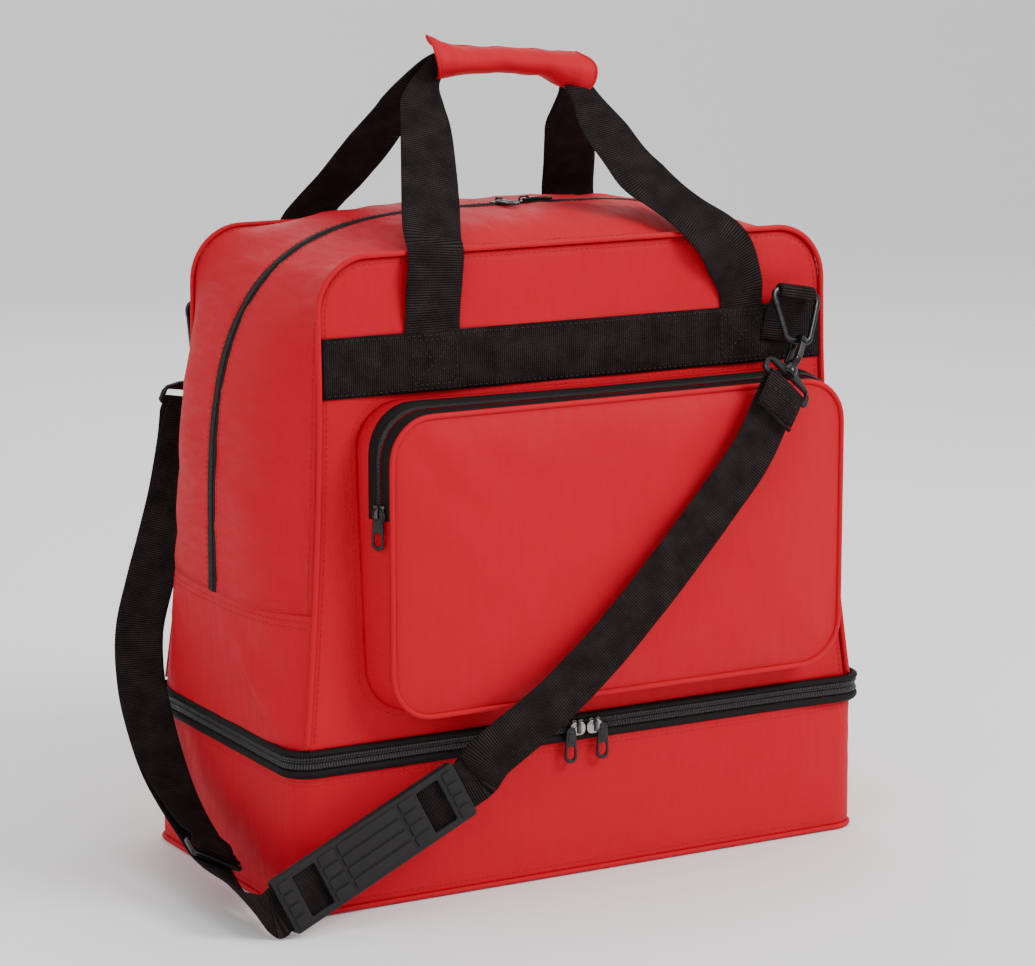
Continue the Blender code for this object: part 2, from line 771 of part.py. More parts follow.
def sliders(finish):
    front_y = -(BASE_DEPTH / 2 + TAPE_PROUD + TAPE_SKIN / 2)
    top_z = ARCH_FOOT + MIDDLE_HEIGHT
    right, front, up = Vector((1, 0, 0)), Vector((0, -1, 0)), Vector((0, 0, 1))
    slider("boot_slider_left", (-0.0160, front_y, HINGE_Z), right, -up, front, finish)
    slider("boot_slider_right", (0.0040, front_y, HINGE_Z), right, -up, front, finish)
    slider("main_slider_left", (-0.0080, 0, top_z), right, front, up, finish)
    slider("main_slider_right", (0.0140, 0, top_z), front, right, up, finish)
    middle_y = (POCKET_MIDDLE_Y + POCKET_RIM_Y) / 2
    slider("pocket_slider", (POCKET_LEFT, middle_y, 0.303), front, -up, -right, finish)


# ---------------------------------------------------------------- rings and snap hooks


def ring_assembly(word, joint, finish):
    """A triangular ring in its webbing tab, the snap hook on it, and the hook's swivel loop."""
    bar, apex = joint["bar"], joint["apex"]
    place = frame_at(bar, bar - apex, joint["ring_right"])
    half = RING_HALF_WIDTH
    left = [
        (-0.0058, -RING_HEIGHT + 0.0001),
        (-0.0090, -RING_HEIGHT + 0.0012),
        (-0.0114, -RING_HEIGHT + 0.0036),
        (-half + 0.0008, -0.0085),
        (-half, -0.0048),
        (-half + 0.0012, -0.0014),
        (-half + 0.0042, 0),
    ]
    right = [(-x, z) for x, z in reversed(left)]
    wire = [place @ Vector((x, 0, z)) for x, z in [*left, *right]]
    tube(word + "_ring", wire, RING_WIRE, finish["plastic"], closed=True)
    ring_tab(word, place, joint["tab_reach"], finish)
    snap_hook(word, joint, finish)


def ring_tab(word, ring_place, reach, finish):
    """Webbing that lies on the band, turns over the ring's bar and ends in front."""
    width_way = ring_place.to_3x3().col[0]
    place = frame_at(ring_place.translation, width_way, (0, 0, 1))
    turn = RING_WIRE + 0.0004 + WEBBING / 2
    path = [(-reach, -0.036), (-reach, -0.022), (-reach * 0.75, -0.012), (-turn - 0.0004, -0.004)]
    path += half_turn(turn, 8)
    path += [(turn, -0.006), (turn + 0.0006, -0.013)]
    line = [place @ Vector((up, out, 0)) for out, up in path]
    across = [width_way] * len(line)
    widths = [0.0250] * len(line)
    ribbon(word + "_ring_tab", line, across, widths, WEBBING, finish["webbing"])


def snap_hook(word, joint, finish):
    apex, ball = joint["apex"], joint["ball"]
    chain = frame_at(apex, apex - ball, joint["ring_right"])
    turn = Matrix.Rotation(HOOK_TURN, 4, "Z")
    stand = Matrix.Rotation(math.pi / 2, 4, "Z") @ Matrix.Rotation(math.pi / 2, 4, "X")
    place = chain @ turn @ stand
    top = RING_WIRE + 0.0033
    foot = -0.0200
    inner, outer = 0.0062, 0.0102
    hook = [
        (inner, foot),
        (inner, top - 0.003),
        (inner - 0.002, top),
        (-inner + 0.002, top),
        (-inner, top - 0.003),
        (-inner, -0.0030),
        (-outer, -0.0030),
        (-outer, top + 0.0010),
        (-outer + 0.0038, top + 0.0042),
        (outer - 0.0038, top + 0.0042),
        (outer, top + 0.0010),
        (outer, foot - 0.002),
        (0.0040, -0.0268),
        (0.0018, -0.0268),
        (0.0018, -0.0372),
        (0.0045, -0.0376),
        (0.0045, -0.0404),
        (-0.0045, -0.0404),
        (-0.0045, -0.0376),
        (-0.0018, -0.0372),
        (-0.0018, -0.0268),
        (-0.0040, -0.0268),
        (-outer, foot - 0.002),
        (-outer, foot),
    ]
    plate(word + "_hook", [hook], 0.0055, place, finish["plastic"])
    gate = [(-outer + 0.0003, foot + 0.0006), (-inner - 0.0004, foot + 0.0006)]
    gate += [(-inner - 0.0004, -0.0036), (-outer + 0.0003, -0.0036)]
    plate(word + "_hook_gate", [gate], 0.0050, place, finish["plastic"])
    loop = frame_at(apex, apex - ball, joint["loop_right"])
    swivel_loop(word, loop @ Matrix.Translation((0, 0, -HOOK_LENGTH)), finish)


def swivel_loop(word, place, finish):
    """The rectangular loop that the strap is sewn round, with a boss that the hook turns in."""
    stand = Matrix.Rotation(math.pi / 2, 4, "X")
    outer = rounded_rectangle(LOOP_HALF_WIDTH, 0.0110, 0.003, 3, (0, -0.0065))
    slot = rounded_rectangle(LOOP_HALF_WIDTH - 0.0035, 0.0046, 0.0012, 2, (0, -0.0090))
    made = plate(word + "_hook_loop", [outer, slot], 0.0034, place @ stand, finish["plastic"])
    made = as_mesh(made)
    made.data.materials.append(finish["plastic"])
    boss = round_bar(word + "_boss", 0.0058, 0.0085, place @ Matrix.Translation((0, 0, 0.0002)), finish)
    bore = round_bar(word + "_bore", 0.0037, 0.0200, place, finish)
    cut(made, boss, "UNION")
    cut(made, bore)


def round_bar(name, radius, length, place, finish):
    bm = bmesh.new()
    bmesh.ops.create_cone(
        bm, cap_ends=True, segments=16, radius1=radius, radius2=radius, depth=length
    )
    made = add_mesh(name, bm, finish["plastic"])
    made.matrix_world = place
    return made


# ---------------------------------------------------------------- shoulder strap

FRONT_JOINT = {
    "bar": Vector((0.184, -0.1285, 0.440)),
    "apex": Vector((0.1775, -0.1425, 0.402)),
    "ball": Vector((0.1575, -0.1600, 0.3825)),
    "ring_right": Vector((0.950, 0, -0.250)),
    "loop_right": Vector((0.770, -0.039, -0.637)),
    "tab_reach": 0.0130,
}
BACK_JOINT = {
    "bar": Vector((-0.195, 0.1275, 0.4265)),
    "apex": Vector((-0.1985, 0.1385, 0.388)),
    "ball": Vector((-0.2045, 0.1480, 0.3605)),
    "ring_right": Vector((-0.980, 0, -0.100)),
    "loop_right": Vector((-0.980, 0, -0.200)),
    "tab_reach": 0.0118,
}

TRI_GLIDE = (-0.2880, -0.0560, 0.0330)
TRI_GLIDE_SIDE = (-0.89, 0.02, 0.45)
PAD_TOP = Vector((-0.125, -0.156, 0.0930))
PAD_FOOT = Vector((-0.272, -0.160, 0.0255))


def strap(finish):
    front_strap(finish)
    rear_strap(finish)
    shoulder_pad(finish)


def loop_bar(joint):
    """The placement of a swivel loop's lower bar: X along it, Z towards the hook."""
    chain = frame_at(joint["apex"], joint["apex"] - joint["ball"], joint["loop_right"])
    return chain @ Matrix.Translation((0, 0, -HOOK_LENGTH - LOOP_BAR))


def half_turn(radius, steps=6):
    """Points (y, z) over the top of a bar, from its -Y side to its +Y side."""
    angles = [math.pi * i / steps for i in range(steps + 1)]
    return [(-radius * math.cos(a), radius * math.sin(a)) for a in angles]


def pad_axis():
    return (PAD_TOP - PAD_FOOT).normalized()


def pad_across():
    """The direction of the webbing's width in the pad: upright, square to the pad's length."""
    facing = Vector((-0.10, -1, 0.12)).normalized()
    return facing.cross(pad_axis()).normalized()


def front_strap(finish):
    """From the sewn end round the front loop's bar, down across the pocket, into the pad."""
    bar = loop_bar(FRONT_JOINT)
    turn = BAR_TURN
    sewn = [(-turn - 0.0004, -0.026), (-turn, -0.014), (-turn, -0.005)]
    start = [bar @ Vector((0, y, z)) for y, z in [*sewn, *half_turn(turn)]]
    start.append(bar @ Vector((0, turn * 0.9, -0.012)))
    middle_of_pad = (PAD_TOP + PAD_FOOT) / 2
    route = [
        (0.116, -0.1735, 0.3270),
        (0.084, -0.1760, 0.2915),
        (0.050, -0.1780, 0.2560),
        (0.016, -0.1790, 0.2215),
        (-0.0185, -0.1790, 0.1885),
        (-0.0537, -0.1770, 0.1580),
        (-0.0729, -0.1745, 0.1430),
        (-0.0918, -0.1700, 0.1285),
        (-0.1090, -0.1635, 0.1130),
        PAD_TOP + pad_axis() * 0.010,
    ]
    flowing = smooth_line([start[-1], *route], 3)
    line = [*start, *flowing[1:], PAD_TOP, middle_of_pad + pad_axis() * 0.0003]
    fade = [share(i, len(start) - 1, len(start) + 24) for i in range(len(line))]
    side = bar.to_3x3().col[0]
    across = [side.lerp(-pad_across(), f) for f in fade]
    ribbon("strap_front", line, across, [STRAP_WIDTH] * len(line), STRAP_SKIN, finish["webbing"])


def rear_strap(finish):
    """From the tri-glide's bar up to the back loop, round its bar, and down again to the pad."""
    bar = loop_bar(BACK_JOINT)
    route = [
        (bar @ Vector((0, -BAR_TURN, -0.010)), bar.to_3x3().col[0]),
        ((-0.2125, 0.1570, 0.315), (-0.98, 0.05, -0.12)),
        ((-0.2205, 0.1545, 0.275), (-0.93, 0.32, 0)),
        ((-0.2340, 0.1475, 0.238), (-0.87, 0.49, 0)),
        ((-0.2480, 0.1410, 0.203), (-0.87, 0.49, 0)),
        ((-0.2635, 0.1270, 0.168), (-0.87, 0.49, 0)),
        ((-0.2730, 0.1030, 0.132), (-0.87, 0.46, 0.08)),
        ((-0.2770, 0.0740, 0.099), (-0.88, 0.36, 0.18)),
        ((-0.2800, 0.0410, 0.071), (-0.90, 0.22, 0.28)),
        ((-0.2825, 0.0060, 0.052), (-0.91, 0.08, 0.38)),
        ((-0.2855, -0.0300, 0.0400), (-0.90, 0, 0.43)),
        (TRI_GLIDE, TRI_GLIDE_SIDE),
        ((-0.2900, -0.0840, 0.0270), (-0.82, 0, 0.57)),
        ((-0.2905, -0.1120, 0.0240), (-0.72, 0, 0.69)),
        ((-0.2935, -0.1400, 0.0208), (-0.58, 0, 0.80)),
        (PAD_FOOT - pad_axis() * 0.016, pad_across()),
        (PAD_FOOT - pad_axis() * 0.009, pad_across()),
        (PAD_FOOT + pad_axis() * 0.003, pad_across()),
    ]
    steps = 3
    down = smooth_line([point for point, _ in route], steps)
    sides = smooth_line([side for _, side in route], steps)
    glide = glide_frame()
    glide_at = steps * 11
    up, up_sides = [], []
    for i, along in enumerate(tangents(down)[: glide_at - 3]):
        away = -along.cross(sides[i]).normalized()
        apart = 0.0024 + (2 * BAR_TURN - 0.0024) * share(i, 3, 0) + 0.0050 * share(i, 21, glide_at)
        up.append(down[i] + away * apart)
        up_sides.append(sides[i])
    tail = [(-0.0092, 0.0046), (-0.0062, 0.0008), (-0.0036, -0.0020), (0, -0.0029)]
    tail += [(0.0036, -0.0020), (0.0062, 0.0008), (0.0100, 0.0036), (0.0160, 0.0044)]
    line = [glide @ Vector((0, y, z)) for y, z in tail]
    across = [Vector(TRI_GLIDE_SIDE)] * len(tail)
    line += reversed(up)
    across += reversed(up_sides)
    over = [bar @ Vector((0, y, z)) for y, z in reversed(half_turn(BAR_TURN))]
    line += over
    across += [bar.to_3x3().col[0]] * len(over)
    line += down
    across += sides
    middle_of_pad = (PAD_TOP + PAD_FOOT) / 2
    line.append(middle_of_pad - pad_axis() * 0.0003)
    across.append(pad_across())
    ribbon("strap_rear", line, across, [STRAP_WIDTH] * len(line), STRAP_SKIN, finish["webbing"])
    tri_glide(glide, finish)


def glide_frame():
    """The tri-glide's plane: X across the strap, Y up along it and Z away from the floor."""
    along = Vector((-0.06, -0.95, -0.26)).normalized()
    side = Vector(TRI_GLIDE_SIDE)
    out = side.cross(along).normalized()
    return frame_at(Vector(TRI_GLIDE) + out * 0.0052, out, -side)


def tri_glide(place, finish):
    outer = rounded_rectangle(0.0225, 0.0125, 0.004, 3)
    upper = rounded_rectangle(0.0198, 0.0037, 0.001, 2, (0, 0.0058))
    lower = rounded_rectangle(0.0198, 0.0037, 0.001, 2, (0, -0.0058))
    plate("tri_glide", [outer, upper, lower], 0.0026, place, finish["plastic"])


def shoulder_pad(finish):
    """A moulded sleeve that slides on the strap, with two windows in its face."""
    centre = (PAD_TOP + PAD_FOOT) / 2 + pad_axis() * PAD_SHIFT
    facing = pad_axis().cross(pad_across())
    place = frame_at(centre, facing, pad_axis())
    rings = []
    for x in (-PAD_LENGTH / 2, PAD_LENGTH / 2):
        outer = rounded_rectangle(PAD_WIDTH / 2, PAD_DEPTH / 2, 0.002, 2, (0, 0.0015))
        rings.append([place @ Vector((x, y, z)) for y, z in outer])
    body = loft("shoulder_pad", rings, finish["rubber"])
    tunnel = block(
        "pad_tunnel", (PAD_LENGTH * 1.2, STRAP_WIDTH + 0.0016, 0.0036), place, finish["rubber"]
    )
    cut(body, tunnel)
    for side in (-1, 1):
        shift = Matrix.Translation((side * 0.0570, 0, 0.004))
        window = block("pad_window", (0.020, 0.034, 0.010), place @ shift, finish["rubber"])
        cut(body, window)


def main():
    for obj in list(bpy.data.objects):
        bpy.data.objects.remove(obj)
    finish = make_materials()
    boot_box(finish)
    main_compartment(finish)
    pocket(finish)
    sliders(finish)
    ring_assembly("front", FRONT_JOINT, finish)
    ring_assembly("back", BACK_JOINT, finish)
    strap(finish)


main()
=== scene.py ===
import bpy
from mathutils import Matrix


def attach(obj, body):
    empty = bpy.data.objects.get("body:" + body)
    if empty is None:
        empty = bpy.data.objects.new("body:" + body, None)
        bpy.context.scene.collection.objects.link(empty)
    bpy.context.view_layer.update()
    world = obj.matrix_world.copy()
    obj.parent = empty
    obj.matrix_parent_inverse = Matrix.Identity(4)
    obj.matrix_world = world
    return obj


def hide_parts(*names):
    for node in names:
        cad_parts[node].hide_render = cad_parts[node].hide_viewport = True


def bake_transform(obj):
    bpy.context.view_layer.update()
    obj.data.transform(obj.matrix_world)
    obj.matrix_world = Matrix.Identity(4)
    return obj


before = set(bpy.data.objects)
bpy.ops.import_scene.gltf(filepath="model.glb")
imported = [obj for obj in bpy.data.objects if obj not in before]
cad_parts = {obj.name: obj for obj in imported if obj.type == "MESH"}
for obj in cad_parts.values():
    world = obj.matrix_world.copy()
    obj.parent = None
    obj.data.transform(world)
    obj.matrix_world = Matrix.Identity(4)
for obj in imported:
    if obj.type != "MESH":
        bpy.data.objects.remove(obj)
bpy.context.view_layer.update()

import math

import bmesh
import bpy
from mathutils import Matrix, Vector, noise

# ---------------------------------------------------------------- sizes shared with the CAD model

BASE_WIDTH, BASE_DEPTH, BASE_CORNER = 0.504, 0.255, 0.020
HINGE_Z = 0.118
ARCH_FOOT, ARCH_HEIGHT, ARCH_CORNER = 0.2255, 0.2620, 0.040
PANEL_HALF_WIDTH = 0.2195
MIDDLE_HALF_WIDTH, MIDDLE_HEIGHT, MIDDLE_POWER = 0.257, 0.281, 3.75
BAND_LOW, BAND_HIGH = 0.385, 0.430
HANDLE_FEET = {-1: (-0.1265, 0.1430), 1: (-0.131, 0.128)}
ENDS = (("front", -1, "front_shell"), ("back", 1, "upper_bag"))
POCKET_LEFT, POCKET_RIGHT, POCKET_LOW, POCKET_HIGH = -0.188, 0.212, 0.148, 0.376
POCKET_CORNER = 0.034
POCKET_MIDDLE_Y, POCKET_RIM_Y, POCKET_FACE_Y = -0.130, -0.1482, -0.150
POCKET_PUFF = 0.013
ZIP_FOOT_LEFT, ZIP_FOOT_RIGHT = 0.292, 0.330
STRAP_WIDTH, STRAP_THICKNESS = 0.038, 0.0017
CLOTH, HANDLE_THICKNESS = 0.0022, 0.0021
TAB_WIDTH, TAB_THICKNESS = 0.0330, 0.0030
CORD_RADIUS, BASE_CORD_RADIUS, HEM_RADIUS = 0.0022, 0.0021, 0.0017
WEAVE_PITCH, THREAD_PITCH = 0.0011, 0.00125
SHARP_ANGLE = math.radians(35)
RING_HALF_WIDTH, RING_HEIGHT = 0.0205, 0.040
LOOP_BAR, BAR_TURN, HOOK_LENGTH = 0.01525, 0.0037, 0.0320
HOOK_TURN = math.radians(8)
TRI_GLIDE, TRI_GLIDE_SIDE = (-0.2880, -0.0560, 0.0330), (-0.89, 0.02, 0.45)
PAD_TOP, PAD_FOOT = Vector((-0.125, -0.156, 0.0930)), Vector((-0.272, -0.160, 0.0255))
PAD_LENGTH, PAD_WIDTH, PAD_SHIFT = 0.167, 0.045, -0.0045

FRONT_JOINT = {
    "bar": Vector((0.184, -0.1285, 0.440)),
    "apex": Vector((0.1775, -0.1425, 0.402)),
    "ball": Vector((0.1575, -0.1600, 0.3825)),
    "ring_right": Vector((0.950, 0, -0.250)),
    "loop_right": Vector((0.770, -0.039, -0.637)),
    "tab_reach": 0.0130,
}
BACK_JOINT = {
    "bar": Vector((-0.195, 0.1275, 0.4265)),
    "apex": Vector((-0.1985, 0.1385, 0.388)),
    "ball": Vector((-0.2045, 0.1480, 0.3605)),
    "ring_right": Vector((-0.980, 0, -0.100)),
    "loop_right": Vector((-0.980, 0, -0.200)),
    "tab_reach": 0.0118,
}


# ---------------------------------------------------------------- node materials


class Paint:
    """Builds one node material."""

    def __init__(self, name, color, roughness, metallic=0.0, coords="UV"):
        self.material = bpy.data.materials.new(name)
        self.material.use_nodes = True
        self.tree = self.material.node_tree
        self.shader = self.tree.nodes["Principled BSDF"]
        self.shader.inputs["Base Color"].default_value = (*color, 1)
        self.shader.inputs["Roughness"].default_value = roughness
        self.shader.inputs["Metallic"].default_value = metallic
        self.place = self.node("ShaderNodeTexCoord").outputs[coords]
        self.split = self.node("ShaderNodeSeparateXYZ")
        self.tree.links.new(self.place, self.split.inputs[0])

    def node(self, kind, **settings):
        made = self.tree.nodes.new(kind)
        for key, value in settings.items():
            setattr(made, key, value)
        return made

    def feed(self, socket, value):
        if isinstance(value, (int, float)):
            socket.default_value = value
        elif isinstance(value, tuple):
            socket.default_value = value
        else:
            self.tree.links.new(value, socket)

    def math(self, operation, *values):
        made = self.node("ShaderNodeMath", operation=operation)
        for socket, value in zip(made.inputs, values):
            self.feed(socket, value)
        return made.outputs[0]

    def axis(self, name):
        return self.split.outputs[name]

    def wave(self, source, pitch, phase=0.0):
        """A sine of that pitch in metres, from 0 to 1."""
        turned = self.math("MULTIPLY_ADD", source, 2 * math.pi / pitch, phase)
        return self.math("MULTIPLY_ADD", self.math("SINE", turned), 0.5, 0.5)

    def noise(self, scale, detail=3.0, rough=0.55, stretch=None):
        made = self.node("ShaderNodeTexNoise")
        source = self.place
        if stretch:
            mapping = self.node("ShaderNodeMapping")
            mapping.inputs["Scale"].default_value = stretch
            self.tree.links.new(self.place, mapping.inputs["Vector"])
            source = mapping.outputs[0]
        self.tree.links.new(source, made.inputs["Vector"])
        made.inputs["Scale"].default_value = scale
        made.inputs["Detail"].default_value = detail
        made.inputs["Roughness"].default_value = rough
        return made.outputs["Fac"]

    def ramp(self, source, low, high, start, stop):
        made = self.node("ShaderNodeMapRange")
        self.feed(made.inputs["Value"], source)
        made.inputs["From Min"].default_value = start
        made.inputs["From Max"].default_value = stop
        made.inputs["To Min"].default_value = low
        made.inputs["To Max"].default_value = high
        return made.outputs[0]

    def mix(self, factor, first, second):
        made = self.node("ShaderNodeMix", data_type="RGBA")
        self.feed(made.inputs["Factor"], factor)
        self.feed(made.inputs["A"], first)
        self.feed(made.inputs["B"], second)
        return made.outputs["Result"]

    def color(self, value):
        self.feed(self.shader.inputs["Base Color"], value)

    def roughness(self, value):
        self.feed(self.shader.inputs["Roughness"], value)

    def bump(self, height, distance, strength=1.0):
        made = self.node("ShaderNodeBump")
        made.inputs["Distance"].default_value = distance
        made.inputs["Strength"].default_value = strength
        self.feed(made.inputs["Height"], height)
        self.tree.links.new(made.outputs[0], self.shader.inputs["Normal"])

    def with_specular(self, level):
        self.shader.inputs["Specular IOR Level"].default_value = level
        return self.material


def shade(color, by):
    return (*[channel * by for channel in color], 1)


RED = (0.50, 0.0002, 0.0125)
BLACK = (0.0105, 0.0080, 0.0080)


def red_fabric(name, coords="UV", ways=("X", "Y")):
    """Coated polyester in a plain weave, with faint slubs and soft unevenness."""
    paint = Paint(name, RED, 0.62, coords=coords)
    warp = paint.wave(paint.axis(ways[0]), WEAVE_PITCH)
    weft = paint.wave(paint.axis(ways[1]), WEAVE_PITCH)
    weave = paint.math("MULTIPLY", warp, weft)
    slub = paint.noise(140, 3.0, 0.6, (1.0, 0.25, 1.0))
    cloud = paint.noise(7, 2.0)
    grain = paint.noise(900, 2.0, 0.7)
    tone = paint.math("ADD", paint.math("MULTIPLY", weave, 0.35), paint.math("MULTIPLY", grain, 0.35))
    tone = paint.math("ADD", tone, paint.math("MULTIPLY", cloud, 0.30))
    paint.color(paint.mix(tone, shade(RED, 0.80), shade(RED, 1.16)))
    paint.roughness(paint.ramp(slub, 0.52, 0.70, 0.3, 0.7))
    height = paint.math("ADD", weave, paint.math("MULTIPLY", slub, 0.6))
    paint.bump(height, 0.00022, 0.55)
    return paint.with_specular(0.16)


def black_webbing(name, pitch=0.00185, coords="UV", ways=("X", "Y"), base=BLACK):
    """Ribbed polypropylene webbing: ribs across its length, each crossed by fine warp threads, with a painted
    highlight on the rib crossings and painted shade between them.
    """
    paint = Paint(name, base, 0.75, coords=coords)
    along, across = paint.axis(ways[0]), paint.axis(ways[1])
    rib = paint.math("ABSOLUTE", paint.math("SINE", paint.math("MULTIPLY", along, math.pi / pitch)))
    thread = paint.wave(across, THREAD_PITCH)
    dots = paint.math("MULTIPLY", paint.math("POWER", rib, 1.5), paint.ramp(thread, 0.45, 1.0, 0, 1))
    wear_and_sheen = paint.noise(55, 4.0, 0.6)
    sheen_grain = paint.noise(700, 2.0, 0.7)
    # Painted highlight: the rib crossings are painted up to six times lighter than the base, and the grooves
    # darker as painted shade, broken up by two noises.
    light = paint.math("MULTIPLY", dots, paint.ramp(wear_and_sheen, 0.35, 1.0, 0.35, 0.68))
    light = paint.math("MULTIPLY", light, paint.ramp(sheen_grain, 0.55, 1.0, 0.3, 0.7))
    paint.color(paint.mix(light, shade(base, 0.45), shade(base, 6.0)))
    paint.roughness(paint.ramp(wear_and_sheen, 0.66, 0.85, 0.3, 0.7))
    paint.bump(dots, 0.0006, 0.9)
    return paint.with_specular(0.02)


def zip_cloth(name):
    """Smooth tape with fine ribs along it."""
    paint = Paint(name, BLACK, 0.5)
    ribs = paint.wave(paint.axis("Y"), 0.0009)
    knots = paint.wave(paint.axis("X"), 0.0012)
    grain = paint.noise(500, 2.0, 0.6)
    tone = paint.math("MULTIPLY", ribs, paint.ramp(grain, 0.5, 1.0, 0.3, 0.7))
    paint.color(paint.mix(tone, shade(BLACK, 0.3), shade(BLACK, 1.1)))
    paint.roughness(paint.ramp(grain, 0.55, 0.72, 0.3, 0.7))
    paint.bump(paint.math("ADD", ribs, paint.math("MULTIPLY", knots, 0.4)), 0.0002, 0.6)
    return paint.with_specular(0.14)


def zip_coil(name, pitch=0.0016):
    """Nylon coil: glossy turns, with a painted highlight where they stand proud and painted shade between
    them.
    """
    paint = Paint(name, (0.03, 0.028, 0.028), 0.35)
    turns = paint.wave(paint.axis("X"), pitch)
    grain = paint.noise(300, 2.0)
    # Painted highlight on the proud turns and painted shade in the gaps between them.
    paint.color(paint.mix(turns, (0.002, 0.0016, 0.0016, 1), (0.042, 0.038, 0.038, 1)))
    paint.roughness(paint.ramp(grain, 0.28, 0.42, 0.3, 0.7))
    paint.bump(turns, 0.0009, 1.0)
    return paint.with_specular(0.25)


def moulded_plastic(name, coords="Object", base=(0.016, 0.014, 0.014), rough=(0.30, 0.46)):
    paint = Paint(name, base, 0.35, coords=coords)
    speckle = paint.noise(1400, 2.0, 0.7)
    scuff = paint.noise(160, 4.0, 0.7)
    paint.color(paint.mix(scuff, shade(base, 0.75), shade(base, 1.6)))
    paint.roughness(paint.ramp(scuff, rough[0], rough[1], 0.35, 0.65))
    paint.bump(speckle, 0.00008, 0.5)
    return paint.with_specular(0.30)


def plated_metal(name, base=(0.16, 0.155, 0.155)):
    """Dark nickel plate with fine scratches and duller patches."""
    paint = Paint(name, base, 0.28, 1.0, coords="Object")
    scratch = paint.noise(500, 4.0, 0.8, (1.0, 6.0, 1.0))
    dull = paint.noise(180, 3.0)
    paint.color(paint.mix(dull, shade(base, 0.55), shade(base, 1.35)))
    paint.roughness(paint.ramp(scratch, 0.20, 0.42, 0.3, 0.7))
    paint.bump(scratch, 0.00005, 0.5)
    return paint.material


def pad_rubber(name):
    paint = Paint(name, (0.022, 0.020, 0.021), 0.6, coords="Object")
    pores = paint.noise(1600, 2.0, 0.8)
    scuff = paint.noise(70, 4.0, 0.7)
    paint.color(paint.mix(scuff, (0.0085, 0.0078, 0.0082, 1), (0.0180, 0.0162, 0.0170, 1)))
    paint.roughness(paint.ramp(scuff, 0.50, 0.72, 0.3, 0.7))
    paint.bump(pores, 0.00012, 0.5)
    return paint.with_specular(0.20)


def thread(name, base):
    paint = Paint(name, base, 0.5, coords="Object")
    twist = paint.noise(900, 2.0, 0.6)
    paint.color(paint.mix(twist, shade(base, 0.6), shade(base, 1.5)))
    paint.roughness(paint.ramp(twist, 0.4, 0.6, 0.3, 0.7))
    paint.bump(twist, 0.0001, 0.5)
    return paint.material


def stiff_board(name):
    paint = Paint(name, (0.05, 0.05, 0.055), 0.6, coords="Object")
    fibre = paint.noise(60, 4.0, 0.7, (1.0, 6.0, 1.0))
    paint.color(paint.mix(fibre, (0.03, 0.03, 0.034, 1), (0.08, 0.08, 0.085, 1)))
    paint.roughness(paint.ramp(fibre, 0.5, 0.7, 0.3, 0.7))
    paint.bump(fibre, 0.0002, 0.5)
    return paint.material


FABRIC = red_fabric("fabric_weave")
PIPING = red_fabric("piping_weave")
WEBBING = black_webbing("webbing_ribs")
BAND_WEBBING = black_webbing("band_ribs", 0.0017)
TAPE = zip_cloth("zip_cloth")
COIL = zip_coil("zip_coil")
WIDE_COIL = zip_coil("zip_coil_wide", 0.0022)
GLOSS = moulded_plastic("gloss_plastic", base=(0.0070, 0.0060, 0.0062), rough=(0.14, 0.26))
METAL = plated_metal("slider_plate", (0.09, 0.087, 0.087))
DARK_METAL = plated_metal("dark_plate", (0.055, 0.053, 0.053))
BRIGHT = plated_metal("bright_plate", (0.42, 0.41, 0.40))
RUBBER = pad_rubber("pad_rubber_skin")
RED_THREAD = thread("red_thread", (0.36, 0.004, 0.008))
BLACK_THREAD = thread("black_thread", (0.0095, 0.0078, 0.0078))
BOARD = stiff_board("board_fibre")


# ---------------------------------------------------------------- mesh helpers


def place(obj, body, nodes=()):
    """Puts the piece in the scene, riding on its body and standing for those CAD nodes."""
    if obj.name not in bpy.context.scene.collection.objects:
        bpy.context.scene.collection.objects.link(obj)
    if body:
        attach(obj, body)
    if nodes:
        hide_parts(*nodes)
    return obj


def lengths(points):
    found = [0.0]
    for a, b in zip(points, points[1:]):
        found.append(found[-1] + (b - a).length)
    return found


def skin(bm, rows, joined, capped=False, spot=None):
    """Smooth faces between rows of vertices; spot tells a column and row's place in the UV map."""
    layer = bm.loops.layers.uv.active
    width = len(rows[0])
    for j, (first, second) in enumerate(zip(rows, rows[1:])):
        for i in range(width if joined else width - 1):
            k = (i + 1) % width
            face = bm.faces.new((first[i], first[k], second[k], second[i]))
            face.smooth = True
            if spot:
                for loop, corner in zip(face.loops, ((i, j), (i + 1, j), (i + 1, j + 1), (i, j + 1))):
                    loop[layer].uv = spot(*corner)
    if capped:
        bm.faces.new(rows[0])
        bm.faces.new(rows[-1])


def mesh_piece(bm, name, finish, body=None, nodes=(), outward=True):
    """Ends the building of a mesh and puts it in the scene with its material."""
    if outward:
        bmesh.ops.recalc_face_normals(bm, faces=bm.faces)
    mesh = bpy.data.meshes.new(name)
    bm.to_mesh(mesh)
    bm.free()
    mesh.materials.append(finish)
    return place(bpy.data.objects.new(name, mesh), body, nodes)


def grid_mesh(name, rows, finish, closed=False):
    """A smooth sheet through rows of points, with a UV map in metres along and across them."""
    bm = bmesh.new()
    bm.loops.layers.uv.new("UVMap")
    verts = [[bm.verts.new(point) for point in row] for row in rows]
    middle = rows[len(rows) // 2]
    along = lengths([*middle, middle[0]] if closed else middle)
    columns = list(zip(*rows))
    across = lengths(columns[len(columns) // 2])
    skin(bm, verts, closed, spot=lambda i, j: (along[i], across[j]))
    return mesh_piece(bm, name, finish, outward=False)


def thicken(obj, thickness, inside):
    """Gives a sheet real thickness, away from its outer face."""
    mesh = obj.data
    score = 0.0
    for face in mesh.polygons:
        score += face.normal.dot(Vector(inside) - face.center) * face.area
    if score > 0:
        mesh.flip_normals()
    solid = obj.modifiers.new("thickness", "SOLIDIFY")
    solid.thickness = thickness
    solid.offset = -1.0
    solid.use_even_offset = False
    return obj


def sheet(name, rows, finish, thickness, inside, body, nodes=(), closed=False):
    return place(thicken(grid_mesh(name, rows, finish, closed), thickness, inside), body, nodes)


